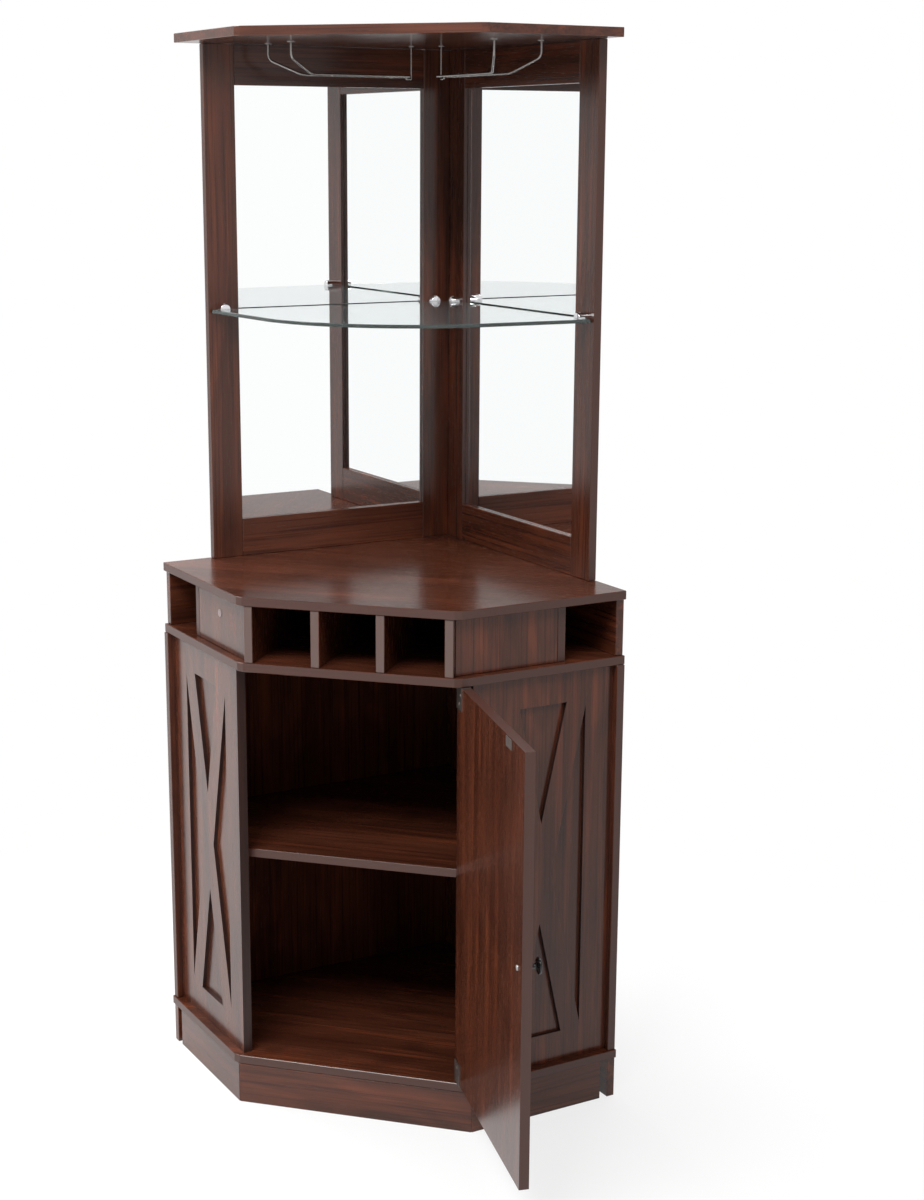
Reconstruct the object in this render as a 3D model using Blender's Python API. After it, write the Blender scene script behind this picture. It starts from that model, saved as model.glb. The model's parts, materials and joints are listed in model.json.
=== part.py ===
"""Corner bar cabinet, built as separate pieces in metres with Z up.

The plan is a square corner unit: two wall sides at right angles, two short
sides square to the walls, and a front across the corner at 45 degrees.
X runs to the viewer's right, Y runs back towards the room corner, and the
origin is under the middle of the front plinth board, on the floor.
"""
import math

import bmesh
import bpy
from mathutils import Matrix, Vector
from mathutils.geometry import tessellate_polygon

# Heights of the whole and of its boards
total_height = 1.810
counter_height = 0.910
rack_clear = 0.096
base_board_height = 0.0875
board_thick = 0.015
inner_shelf_height = 0.456

# Plan of the counter: half the front edge and the depth of a short side
front_half = 0.187
side_depth = 0.322
corner_cut = 0.007

# Plan of the top board, measured the same way, and its setback from the front
top_half = 0.2025
top_side_depth = 0.2546

# How far edges and faces stand back from the counter's outline
base_front_back = 0.020
base_side_out = 0.005
panel_back = 0.010
filler_back = 0.015
upright_back = 0.002
wall_edge_out = 0.002
rack_wall_back = 0.005
wall_face_back = 0.001
plinth_front_back = 0.001
plinth_side_in = 0.004
plinth_end_gap = 0.014

# Sheet thicknesses and fits
sheet_thick = 0.015
panel_thick = 0.016
fit_gap = 0.0003
edge_break = 0.0008

# Bottle rack along the front and at both ends
post_corner = 0.0088
divider_inner = 0.0480
end_bay_start = 0.1975

# Side panels with four sunk triangles around an X
field_corner_margin = 0.050
field_wall_margin = 0.0537
field_rail = 0.0535
strap_half = 0.020
strap_corner_drop = 0.010
sunk_depth = 0.007

# Door
door_lap = 0.0055
door_thick = 0.016
door_back = 0.024
swing_clear = 0.0017
door_gap = 0.0025
door_open_deg = 119.5
door_field_margin = 0.052
pivot_edge = 0.006
pin_radius = 0.0022
pin_play = 0.0004
pin_length = 0.0092
leaf_thick = 0.0012
leaf_width = 0.030
leaf_drop = 0.038
leaf_inset = 0.0015
socket_radius = 0.0058
catch_from_free = 0.081
catch_width = 0.040
catch_depth = 0.015
catch_height = 0.012
strike_width = 0.030
strike_height = 0.016
strike_thick = 0.0012
strike_drop = 0.0012

# Knob
knob_from_free = 0.024
knob_height = 0.441
knob_radius = 0.0130
knob_neck = 0.0052
knob_foot = 0.0072
knob_reach = 0.0195
screw_radius = 0.0021
screw_head = 0.0045
screw_play = 0.0004
screw_bite = 0.009
screw_rise = 0.0018

# Inner shelf and its pins
shelf_front_back = 0.057
shelf_play = 0.0012
shelf_pin_radius = 0.0026
shelf_pin_flange = 0.0045
shelf_pin_reach = 0.010
shelf_pin_plate = 0.0015
shelf_pin_shares = (0.1925, 0.8137)

# Mirror frames along both walls, measured from the room corner
frame_length = 0.495
frame_open_near = 0.0685
stile_width = 0.057
frame_thick = 0.015
frame_rail = 0.067
backing_thick = 0.003
mirror_thick = 0.004
mirror_lap = 0.010

# Glass shelf and its clips
glass_bow_radius = 0.280
glass_bow_in = 0.011
glass_end_back = 0.004
glass_height = 1.3505
glass_thick = 0.006
glass_stand = 0.004
glass_nose = 0.012
clip_radius = 0.009
clip_jaw = 0.0017
clip_reach = 0.019
clip_end_back = 0.024
clip_corner_gap = 0.009

# Stemware racks, measured from the room corner and out from the wall
wire_radius = 0.0021
rack_middle = 0.107
rack_mouth_half = 0.045
rack_gap_half = 0.0175
rack_flare_run = 0.051
rack_rail_at = 0.345
rack_end_clear = 0.043
rack_drop = 0.051
rack_leg_straight = 0.026
flange_radius = 0.0075
flange_thick = 0.0014
flange_taper_share = 1.05
hook_radius = 0.0016
hook_flange_radius = 0.0060
hook_half = 0.0050
hook_rise = 0.0046
wire_bend = 0.010

# Small round cap on the left filler panel
cap_radius = 0.0067
cap_thick = 0.0011
cap_from_end = 0.108
cap_rise = 0.0605

# Roundness
wire_sides = 8
disc_sides = 24
arc_steps = 36

HALF = math.sqrt(0.5)
front_y = -(base_front_back + plinth_front_back + sheet_thick / 2)
door_half = front_half + door_lap
pivot_x = door_half - pivot_edge
pivot_y = front_y + door_back + door_thick / 2
swing_radius = math.hypot(pivot_edge, door_thick / 2)
panel_start = (pivot_x - front_half + pivot_y - front_y) * HALF + swing_radius + swing_clear
post_inner = front_half - post_corner - sheet_thick
post_outer = post_inner + sheet_thick + fit_gap
end_bay_far = end_bay_start + sheet_thick
upright_depth = 2 * HALF * end_bay_far + front_half - post_outer
tip_x = front_half + side_depth * HALF
tip_y = front_y + side_depth * HALF
corner_y = tip_y + tip_x
base_top = base_board_height
counter_top = counter_height
rack_top = counter_top - board_thick - rack_clear
hutch_top = total_height - board_thick
top_tip_x = top_half + top_side_depth * HALF
top_tip_y = corner_y - top_tip_x
top_front_y = top_tip_y - top_side_depth * HALF
rebate_deep = backing_thick + mirror_thick + 2 * fit_gap
frame_open_far = frame_length - stile_width
glass_end = frame_length - glass_end_back
clip_far = frame_length - clip_end_back
clip_near = frame_thick + clip_reach + clip_radius + clip_corner_gap
rack_leg_at = rack_rail_at + rack_flare_run
rack_end_at = rack_middle + rack_end_clear


def make_material(name, colour, roughness, metallic=0.0):
    """Plain Principled material in the piece's own colour."""
    mat = bpy.data.materials.new(name)
    mat.use_nodes = True
    shader = mat.node_tree.nodes["Principled BSDF"]
    shader.inputs["Base Color"].default_value = (*colour, 1.0)
    shader.inputs["Roughness"].default_value = roughness
    shader.inputs["Metallic"].default_value = metallic
    mat.diffuse_color = (*colour, 1.0)
    return mat


def side_point(side, along, inset):
    """Point on a short side: along it from the front corner, inset inwards."""
    x = front_half + (along - inset) * HALF
    y = front_y + (along + inset) * HALF
    return Vector((side * x, y))


def wall_point(side, out, perp):
    """Point by a wall: out from the room corner, perp away from the wall."""
    return Vector((side * (out - perp) * HALF, corner_y - (out + perp) * HALF))


def signed_area(points):
    """Area inside a plan outline, positive when it runs counter-clockwise."""
    total = 0.0
    for a, b in zip(points, points[1:] + points[:1]):
        total += a[0] * b[1] - b[0] * a[1]
    return total / 2


def link_mesh(name, bm, mat, location, angle=0.0, parent=None):
    """Turn a bmesh into a named object with one material slot."""
    bmesh.ops.recalc_face_normals(bm, faces=bm.faces)
    mesh = bpy.data.meshes.new(name)
    bm.to_mesh(mesh)
    bm.free()
    mesh.materials.append(mat)
    obj = bpy.data.objects.new(name, mesh)
    bpy.context.scene.collection.objects.link(obj)
    obj.location = location
    obj.rotation_euler = (0.0, 0.0, angle)
    if parent is not None:
        obj.parent = parent
    return obj


def break_edges(bm, width):
    """Take the sharpness off every outer edge of a board."""
    if width > 0.0:
        bm.normal_update()
        outer = [e for e in bm.edges if e.is_convex]
        bmesh.ops.bevel(bm, geom=outer, offset=width, segments=1, affect="EDGES", profile=0.5)


def prism(name, points, low, high, mat, angle=0.0, edge=edge_break, parent=None):
    """Upright prism over a plan outline, its origin at the outline's middle."""
    points = [Vector((p[0], p[1])) for p in points]
    if signed_area(points) < 0:
        points.reverse()
    middle = sum(points, Vector((0.0, 0.0))) / len(points)
    turn = Matrix.Rotation(-angle, 2)
    local = [turn @ (p - middle) for p in points]
    half = (high - low) / 2
    bm = bmesh.new()
    lower = [bm.verts.new((p.x, p.y, -half)) for p in local]
    upper = [bm.verts.new((p.x, p.y, half)) for p in local]
    bm.faces.new(list(reversed(lower)))
    bm.faces.new(upper)
    count = len(local)
    for i in range(count):
        j = (i + 1) % count
        bm.faces.new((lower[i], lower[j], upper[j], upper[i]))
    bmesh.ops.recalc_face_normals(bm, faces=bm.faces)
    break_edges(bm, edge)
    return link_mesh(name, bm, mat, (middle.x, middle.y, low + half), angle, parent)


def wall_angle(side):
    """Turn that lays a piece's own X along the wall on this side."""
    return math.radians(-45.0 * side)


def short_angle(side):
    """Turn that lays a piece's own X along the short side."""
    return math.radians(45.0 * side)


def lathe(name, profile, mat, location, turn=None, sides=disc_sides, parent=None):
    """Revolve a closed profile of (radius, height) pairs about its own Z."""
    bm = bmesh.new()
    rings = []
    for radius, height in profile:
        if radius <= 0.0:
            rings.append([bm.verts.new((0.0, 0.0, height))])
            continue
        ring = []
        for i in range(sides):
            a = 2 * math.pi * i / sides
            ring.append(bm.verts.new((radius * math.cos(a), radius * math.sin(a), height)))
        rings.append(ring)
    for first, second in zip(rings, rings[1:]):
        for i in range(sides):
            j = (i + 1) % sides
            if len(first) == 1:
                bm.faces.new((first[0], second[i], second[j]))
            elif len(second) == 1:
                bm.faces.new((first[i], second[0], first[j]))
            else:
                bm.faces.new((first[i], second[i], second[j], first[j]))
    obj = link_mesh(name, bm, mat, location, 0.0, parent)
    if turn is not None:
        obj.rotation_euler = turn.to_euler()
    return obj


def rounded_path(points, radius, steps=4):
    """Replace each inner corner of a path by a short arc."""
    points = [Vector(p) for p in points]
    path = [points[0]]
    for before, here, after in zip(points, points[1:], points[2:]):
        to_before = before - here
        to_after = after - here
        reach = min(radius, to_before.length * 0.45, to_after.length * 0.45)
        start = here + to_before.normalized() * reach
        end = here + to_after.normalized() * reach
        for i in range(steps + 1):
            t = i / steps
            path.append(start * (1 - t) ** 2 + here * 2 * t * (1 - t) + end * t ** 2)
    path.append(points[-1])
    return path


def sweep(name, path, radii, mat, location, parent=None):
    """Round wire along a path, closed at both ends."""
    origin = Vector(location)
    bm = bmesh.new()
    normal = None
    rings = []
    for i, point in enumerate(path):
        ahead = path[min(i + 1, len(path) - 1)]
        behind = path[max(i - 1, 0)]
        tangent = (ahead - behind).normalized()
        if normal is None:
            normal = tangent.orthogonal().normalized()
        normal = (normal - tangent * normal.dot(tangent)).normalized()
        side = tangent.cross(normal)
        ring = []
        for k in range(wire_sides):
            a = 2 * math.pi * k / wire_sides
            offset = (normal * math.cos(a) + side * math.sin(a)) * radii[i]
            ring.append(bm.verts.new(point - origin + offset))
        rings.append(ring)
    bm.faces.new(list(reversed(rings[0])))
    bm.faces.new(rings[-1])
    for first, second in zip(rings, rings[1:]):
        for k in range(wire_sides):
            m = (k + 1) % wire_sides
            bm.faces.new((first[k], first[m], second[m], second[k]))
    return link_mesh(name, bm, mat, location, 0.0, parent)


def board_outline(half, depth, front, side_out=0.0):
    """Five-sided board with small cuts at its two front corners."""
    edge = half + front + side_out / HALF
    y = front_y + front
    cut = corner_cut
    tip = Vector((tip_x + side_out * HALF, tip_y - side_out * HALF))
    back = Vector((0.0, corner_y))
    right = [Vector((edge - cut, y)), Vector((edge + cut * HALF, y + cut * HALF)), tip]
    left = [Vector((-p.x, p.y)) for p in reversed(right)]
    return right + [back] + left


def build_boards(wood):
    """The three through boards and the overhanging top board."""
    plain = board_outline(front_half, side_depth, 0.0)
    prism("counter_board", plain, counter_top - board_thick, counter_top, wood)
    prism("rack_board", plain, rack_top - board_thick, rack_top, wood)
    low = board_outline(front_half, side_depth, base_front_back, base_side_out)
    prism("base_board", low, base_top - board_thick, base_top, wood)
    cut = corner_cut
    right = [
        Vector((top_half - cut, top_front_y)),
        Vector((top_half + cut * HALF, top_front_y + cut * HALF)),
        Vector((top_tip_x, top_tip_y)),
    ]
    left = [Vector((-p.x, p.y)) for p in reversed(right)]
    top = right + [Vector((0.0, corner_y))] + left
    prism("top_board", top, hutch_top, total_height, wood)


def wall_strip(side, edge_in, thick, back):
    """Plan of an upright sheet along a wall, mitred at the room corner."""
    half_gap = fit_gap / 2 / HALF
    outer = wall_length() - edge_in
    return [
        wall_point(side, outer, back),
        wall_point(side, outer, back + thick),
        wall_point(side, back + thick + half_gap, back + thick),
        wall_point(side, back + half_gap, back),
    ]


def wall_length():
    """Length of a wall side, from the room corner to the board's tip."""
    return tip_x / HALF


def build_walls(wood):
    """Upright sheets against the two walls, one pair on each level."""
    levels = (
        ("plinth_wall", 0.0, base_top - board_thick - fit_gap, -wall_edge_out),
        ("wall_panel", base_top + fit_gap, rack_top - board_thick - fit_gap, -wall_edge_out),
        ("rack_wall", rack_top + fit_gap, counter_top - board_thick - fit_gap, rack_wall_back),
    )
    for stem, low, high, edge_in in levels:
        for side, word in ((-1, "left"), (1, "right")):
            plan = wall_strip(side, edge_in, sheet_thick, wall_face_back)
            prism(stem + "_" + word, plan, low, high, wood, wall_angle(side))


def build_plinth(wood):
    """Front plinth board and the two short side boards."""
    high = base_top - board_thick - fit_gap
    y0 = front_y + base_front_back + plinth_front_back
    inset = plinth_side_in - base_side_out
    mitre = math.tan(math.radians(22.5))
    corner_x = front_half - inset / HALF + base_front_back + plinth_front_back
    inner_x = corner_x - sheet_thick * mitre
    front = [
        Vector((-corner_x + fit_gap, y0)),
        Vector((corner_x - fit_gap, y0)),
        Vector((inner_x - fit_gap, y0 + sheet_thick)),
        Vector((-inner_x + fit_gap, y0 + sheet_thick)),
    ]
    prism("plinth_front", front, 0.0, high, wood)
    start = (base_front_back + plinth_front_back) / HALF - inset
    end = side_depth - wall_face_back - sheet_thick - plinth_end_gap
    for side, word in ((-1, "left"), (1, "right")):
        plan = [
            side_point(side, start, inset),
            side_point(side, end, inset),
            side_point(side, end, inset + sheet_thick),
            side_point(side, start + sheet_thick * mitre, inset + sheet_thick),
        ]
        prism("plinth_side_" + word, plan, 0.0, high, wood, short_angle(side))


def keep_side(points, axis, level, sign):
    """Cut a convex outline at a level of one axis and keep one side of it."""
    kept = []
    for a, b in zip(points, points[1:] + points[:1]):
        a_in = (a[axis] - level) * sign >= 0.0
        b_in = (b[axis] - level) * sign >= 0.0
        if a_in:
            kept.append(a)
        if a_in != b_in:
            t = (level - a[axis]) / (b[axis] - a[axis])
            cut = [a[i] + t * (b[i] - a[i]) for i in (0, 1)]
            cut[axis] = level
            kept.append(tuple(cut))
    return kept


def sunk_pattern(height, left, right, rail):
    """Four triangles left over around an X, in a field inside a panel.

    Coordinates start at the panel's lower left corner. The outer edge of each
    strap meets the field's side a little below its corner.
    """
    mid_x = (left + right) / 2
    mid_z = height / 2
    half_w = (right - left) / 2
    half_h = height / 2 - rail
    side_half = half_h - strap_corner_drop
    lean = (half_w - strap_half) / side_half
    tip = strap_half / lean
    cap_half = lean * half_h - strap_half
    triangles = [
        [(-cap_half, half_h), (0.0, tip), (cap_half, half_h)],
        [(-cap_half, -half_h), (cap_half, -half_h), (0.0, -tip)],
        [(-half_w, -side_half), (-strap_half, 0.0), (-half_w, side_half)],
        [(half_w, -side_half), (half_w, side_half), (strap_half, 0.0)],
    ]
    return [[(mid_x + x, mid_z + z) for x, z in shape] for shape in triangles]


def sunk_sheet(name, width, height, thick, holes, mat, location, angle, parent=None, origin=(0.0, 0.0)):
    """Upright sheet whose front face (its own -Y) carries sunk triangles.

    The sheet's own X runs along its width and its front face is at -Y.
    Origin shifts the mesh so that the object's own origin lands on it.
    """
    bm = bmesh.new()
    ox, oy = origin
    frame = [(0.0, 0.0), (width, 0.0), (width, height), (0.0, height)]
    loops = [frame] + holes
    front = []
    for loop in loops:
        front.append([bm.verts.new((x - ox, -oy, z - height / 2)) for x, z in loop])
    flat = [v for ring in front for v in ring]
    outline = [[Vector((x, z, 0.0)) for x, z in loop] for loop in loops]
    for tri in tessellate_polygon(outline):
        bm.faces.new([flat[i] for i in tri])
    back = [bm.verts.new((x - ox, thick - oy, z - height / 2)) for x, z in frame]
    bm.faces.new(back)
    for i in range(4):
        j = (i + 1) % 4
        bm.faces.new((front[0][i], front[0][j], back[j], back[i]))
    for ring, loop in zip(front[1:], holes):
        floor = [bm.verts.new((x - ox, sunk_depth - oy, z - height / 2)) for x, z in loop]
        bm.faces.new(floor)
        for i in range(3):
            j = (i + 1) % 3
            bm.faces.new((ring[i], ring[j], floor[j], floor[i]))
    return link_mesh(name, bm, mat, location, angle, parent)


def build_side_panels(wood):
    """The two X-patterned panels on the short sides."""
    low = base_top + fit_gap
    high = rack_top - board_thick - fit_gap
    end = side_depth - wall_face_back - sheet_thick - fit_gap
    width = end - panel_start
    for side, word in ((-1, "left"), (1, "right")):
        first = field_corner_margin
        last = width - field_wall_margin
        if side < 0:
            first, last = width - last, width - first
        holes = sunk_pattern(high - low, first, last, field_rail)
        along = panel_start if side > 0 else end
        corner = side_point(side, along, panel_back)
        spot = (corner.x, corner.y, (low + high) / 2)
        angle = math.radians(45.0 * side)
        sunk_sheet("side_panel_" + word, width, high - low, panel_thick, holes, wood, spot, angle)


def build_bottle_rack(wood, cap_mat):
    """Uprights, end dividers and plain filler panels between the two boards."""
    low = rack_top + fit_gap
    high = counter_top - board_thick - fit_gap
    y0 = front_y + upright_back
    for side, word in ((-1, "left"), (1, "right")):
        for stem, inner in (("post", post_inner), ("divider", divider_inner)):
            a = side * inner
            b = side * (inner + sheet_thick)
            plan = [Vector((a, y0)), Vector((b, y0)), Vector((b, y0 + upright_depth)), Vector((a, y0 + upright_depth))]
            prism("bottle_" + stem + "_" + word, plan, low, high, wood)
        near = end_bay_start
        far = end_bay_far
        back = filler_back
        plan = [
            side_point(side, near, back),
            side_point(side, far, back),
            cut_at_x(side, far, post_outer),
            cut_at_x(side, near, post_outer),
        ]
        prism("end_divider_" + word, plan, low, high, wood, wall_angle(side))
        plan = [
            side_point(side, start_at_x(post_outer, back), back),
            side_point(side, near - fit_gap, back),
            side_point(side, near - fit_gap, back + sheet_thick),
            side_point(side, start_at_x(post_outer, back + sheet_thick), back + sheet_thick),
        ]
        prism("filler_" + word, plan, low, high, wood, short_angle(side))
    spot = side_point(-1, cap_from_end, filler_back - fit_gap)
    turn = Matrix.Rotation(math.radians(-45.0), 3, "Z") @ Matrix.Rotation(math.radians(90.0), 3, "X")
    profile = [(0.0, 0.0), (cap_radius, 0.0), (cap_radius, cap_thick * 0.5), (cap_radius * 0.86, cap_thick)]
    lathe("cam_cap", profile + [(0.0, cap_thick)], cap_mat, (spot.x, spot.y, rack_top + cap_rise), turn)


def start_at_x(limit, inset):
    """Distance along a short side at which a line at this inset meets x = limit."""
    return (limit - front_half) / HALF + inset


def cut_at_x(side, along, limit):
    """Where the line square to the short side at this distance meets x = limit."""
    run = (front_half + along * HALF - limit) / HALF
    return side_point(side, along, run)


def build_inner_shelf(wood, metal):
    """Loose shelf inside the cupboard, resting on four pins."""
    inset = panel_back + panel_thick + shelf_play
    wall = wall_face_back + sheet_thick + shelf_play
    y0 = front_y + shelf_front_back
    x0 = front_half + shelf_front_back - inset / HALF
    tip = side_point(1, side_depth - wall, inset)
    right = [Vector((x0, y0)), tip]
    left = [Vector((-p.x, p.y)) for p in reversed(right)]
    plan = right + [Vector((0.0, corner_y - wall / HALF))] + left
    low = inner_shelf_height - board_thick
    prism("inner_shelf", plan, low, inner_shelf_height, wood)
    profile = [
        (0.0, 0.0),
        (shelf_pin_flange, 0.0),
        (shelf_pin_flange, shelf_pin_plate),
        (shelf_pin_radius, shelf_pin_plate),
        (shelf_pin_radius, shelf_pin_reach * 0.94),
        (shelf_pin_radius * 0.8, shelf_pin_reach),
        (0.0, shelf_pin_reach),
    ]
    number = 1
    height = low - fit_gap - shelf_pin_flange
    for side in (-1, 1):
        for share in shelf_pin_shares:
            at = side_point(side, share * side_depth, panel_back + panel_thick + fit_gap)
            turn = Matrix.Rotation(math.radians(45.0 * side), 3, "Z") @ Matrix.Rotation(math.radians(-90.0), 3, "X")
            lathe("shelf_pin_%d" % number, profile, metal, (at.x, at.y, height), turn, 16)
            number += 1


def build_door(wood, metal, black, plastic):
    """Door on two pin hinges, built closed and then swung to the photo's angle."""
    low = base_top + door_gap
    high = rack_top - board_thick - door_gap
    height = high - low
    mid_z = (low + high) / 2
    hinge = bpy.data.objects.new("door_hinge", None)
    hinge.location = (pivot_x, pivot_y, mid_z)
    hinge.rotation_euler = (0.0, 0.0, math.radians(door_open_deg))
    bpy.context.scene.collection.objects.link(hinge)

    width = 2 * door_half
    holes = sunk_pattern(height, door_field_margin, width - door_field_margin, door_field_margin)
    origin = (door_half + pivot_x, door_thick / 2)
    door = sunk_sheet("door", width, height, door_thick, holes, wood, (0.0, 0.0, 0.0), 0.0, hinge, origin)

    knob_x = -(pivot_x + door_half - knob_from_free)
    knob_z = knob_height - mid_z
    bore = drill("cut_knob", screw_radius + screw_play, door_thick * 2, (knob_x, 0.0, knob_z), True, hinge)
    cut_from(door, bore)
    strike_x = -(pivot_x + door_half - catch_from_free)

    face = -door_thick / 2 - fit_gap
    profile = [
        (0.0, screw_bite),
        (screw_radius + screw_play, screw_bite),
        (screw_radius + screw_play, 0.0),
        (knob_foot, 0.0),
        (knob_foot * 0.96, knob_reach * 0.06),
        (knob_neck, knob_reach * 0.24),
        (knob_neck * 0.98, knob_reach * 0.40),
        (knob_neck * 1.30, knob_reach * 0.52),
        (knob_radius * 0.90, knob_reach * 0.60),
        (knob_radius, knob_reach * 0.67),
        (knob_radius, knob_reach * 0.80),
        (knob_radius * 0.93, knob_reach * 0.92),
        (knob_radius * 0.70, knob_reach * 0.98),
        (0.0, knob_reach),
    ]
    out_turn = Matrix.Rotation(math.radians(90.0), 3, "X")
    lathe("knob", profile, black, (knob_x, face, knob_z), out_turn, disc_sides, hinge)

    head = door_thick / 2 + fit_gap
    shank = -(door_thick + 2 * fit_gap + screw_bite * 0.8)
    profile = [
        (0.0, shank),
        (screw_radius, shank),
        (screw_radius, 0.0),
        (screw_head, 0.0),
        (screw_head * 0.9, screw_rise * 0.6),
        (screw_head * 0.55, screw_rise),
        (0.0, screw_rise),
    ]
    back_turn = Matrix.Rotation(math.radians(-90.0), 3, "X")
    lathe("knob_screw", profile, metal, (knob_x, head, knob_z), back_turn, 16, hinge)

    strike_z = high - strike_drop - strike_height / 2 - mid_z
    plate = [
        Vector((strike_x - strike_width / 2, head)),
        Vector((strike_x + strike_width / 2, head)),
        Vector((strike_x + strike_width / 2, head + strike_thick)),
        Vector((strike_x - strike_width / 2, head + strike_thick)),
    ]
    low_z = strike_z - strike_height / 2
    prism("strike_plate", plate, low_z, low_z + strike_height, metal, 0.0, strike_thick * 0.2, hinge)

    for up, word in ((1, "top"), (-1, "bottom")):
        build_hinge_leaf("hinge_leaf_" + word, up, height / 2, metal, hinge)
        build_hinge_socket("hinge_socket_" + word, up, (pivot_x, pivot_y), metal)

    catch_x = -(door_half - catch_from_free)
    y0 = pivot_y + door_thick / 2 + strike_thick + 3 * fit_gap
    plan = [
        Vector((catch_x - catch_width / 2, y0)),
        Vector((catch_x + catch_width / 2, y0)),
        Vector((catch_x + catch_width / 2, y0 + catch_depth)),
        Vector((catch_x - catch_width / 2, y0 + catch_depth)),
    ]
    top = rack_top - board_thick - fit_gap
    prism("magnet_catch", plan, top - catch_height, top, plastic, 0.0, edge_break)


def drill(name, radius, length, at, sideways, parent):
    """Hidden round cutter, longer than the wall it goes through."""
    profile = [(0.0, -length), (radius, -length), (radius, length), (0.0, length)]
    turn = Matrix.Rotation(math.radians(90.0), 3, "X") if sideways else None
    cutter = lathe(name, profile, bpy.data.materials["laminate"], at, turn, 16, parent)
    cutter.hide_render = True
    cutter.display_type = "WIRE"
    return cutter


def cut_from(obj, cutter):
    """Take a cutter away from an object with an exact Boolean."""
    mod = obj.modifiers.new("cut_" + cutter.name, "BOOLEAN")
    mod.operation = "DIFFERENCE"
    mod.solver = "EXACT"
    mod.object = cutter


def build_hinge_leaf(name, up, half_height, metal, parent):
    """Bent leaf over the door's inner face and end, with the pivot pin on it."""
    inner = door_thick / 2 + fit_gap
    right = pivot_edge - leaf_inset
    left = right - leaf_width
    top = half_height + fit_gap + leaf_thick
    bm = bmesh.new()
    section = [
        (-door_thick / 2 + leaf_inset, half_height + fit_gap),
        (inner, half_height + fit_gap),
        (inner, half_height - leaf_drop),
        (inner + leaf_thick, half_height - leaf_drop),
        (inner + leaf_thick, top),
        (-door_thick / 2 + leaf_inset, top),
    ]
    ends = []
    for x in (left, right):
        ends.append([bm.verts.new((x, y, up * z)) for y, z in section])
    bm.faces.new(ends[0])
    bm.faces.new(list(reversed(ends[1])))
    count = len(section)
    for i in range(count):
        j = (i + 1) % count
        if i == 4:
            continue
        bm.faces.new((ends[0][i], ends[0][j], ends[1][j], ends[1][i]))
    ring = []
    tips = []
    for k in range(wire_sides * 2):
        a = 2 * math.pi * k / (wire_sides * 2)
        x = pin_radius * math.cos(a)
        y = pin_radius * math.sin(a)
        ring.append(bm.verts.new((x, y, up * top)))
        tips.append(bm.verts.new((x, y, up * (top + pin_length))))
    bm.faces.new(tips)
    for k in range(len(ring)):
        m = (k + 1) % len(ring)
        bm.faces.new((ring[k], ring[m], tips[m], tips[k]))
    rim = [ends[0][4], ends[0][5], ends[1][5], ends[1][4]]
    outline = [[Vector((v.co.x, v.co.y, 0.0)) for v in rim], [Vector((v.co.x, v.co.y, 0.0)) for v in ring]]
    flat = rim + ring
    for tri in tessellate_polygon(outline):
        bm.faces.new([flat[i] for i in tri])
    link_mesh(name, bm, metal, (0.0, 0.0, 0.0), 0.0, parent)


def build_hinge_socket(name, up, at, metal):
    """Thin collar let into the board, in which the pivot pin turns."""
    board = rack_top - board_thick if up > 0 else base_top
    hole = pin_radius + pin_play
    deep = pin_length - (door_gap - fit_gap - leaf_thick) + fit_gap + leaf_thick
    profile = [
        (0.0, deep),
        (socket_radius, deep),
        (socket_radius, 0.0),
        (hole, 0.0),
        (hole, deep - leaf_thick),
        (0.0, deep - leaf_thick),
    ]
    turn = None if up > 0 else Matrix.Rotation(math.radians(180.0), 3, "X")
    lathe(name, profile, metal, (at[0], at[1], board), turn, disc_sides)
    host = bpy.data.objects["rack_board" if up > 0 else "base_board"]
    reach = deep + fit_gap
    cutter = drill("cut_" + name, socket_radius + fit_gap, reach, (at[0], at[1], board), False, None)
    cut_from(host, cutter)


def wall_bar(name, side, near, far, section, mat):
    """Bar along a wall with a constant section of (out from wall, height) points."""
    angle = wall_angle(side)
    low = min(z for _, z in section)
    high = max(z for _, z in section)
    middle = wall_point(side, (near + far) / 2, frame_thick / 2)
    bm = bmesh.new()
    ends = []
    for out in (near, far):
        ring = []
        for perp, z in section:
            at = wall_point(side, out, perp) - middle
            flat = Matrix.Rotation(-angle, 2) @ at
            ring.append(bm.verts.new((flat.x, flat.y, z - (low + high) / 2)))
        ends.append(ring)
    bm.faces.new(ends[0])
    bm.faces.new(list(reversed(ends[1])))
    for i in range(len(section)):
        j = (i + 1) % len(section)
        bm.faces.new((ends[0][i], ends[0][j], ends[1][j], ends[1][i]))
    bmesh.ops.recalc_face_normals(bm, faces=bm.faces)
    break_edges(bm, edge_break)
    return link_mesh(name, bm, mat, (middle.x, middle.y, (low + high) / 2), angle)


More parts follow.
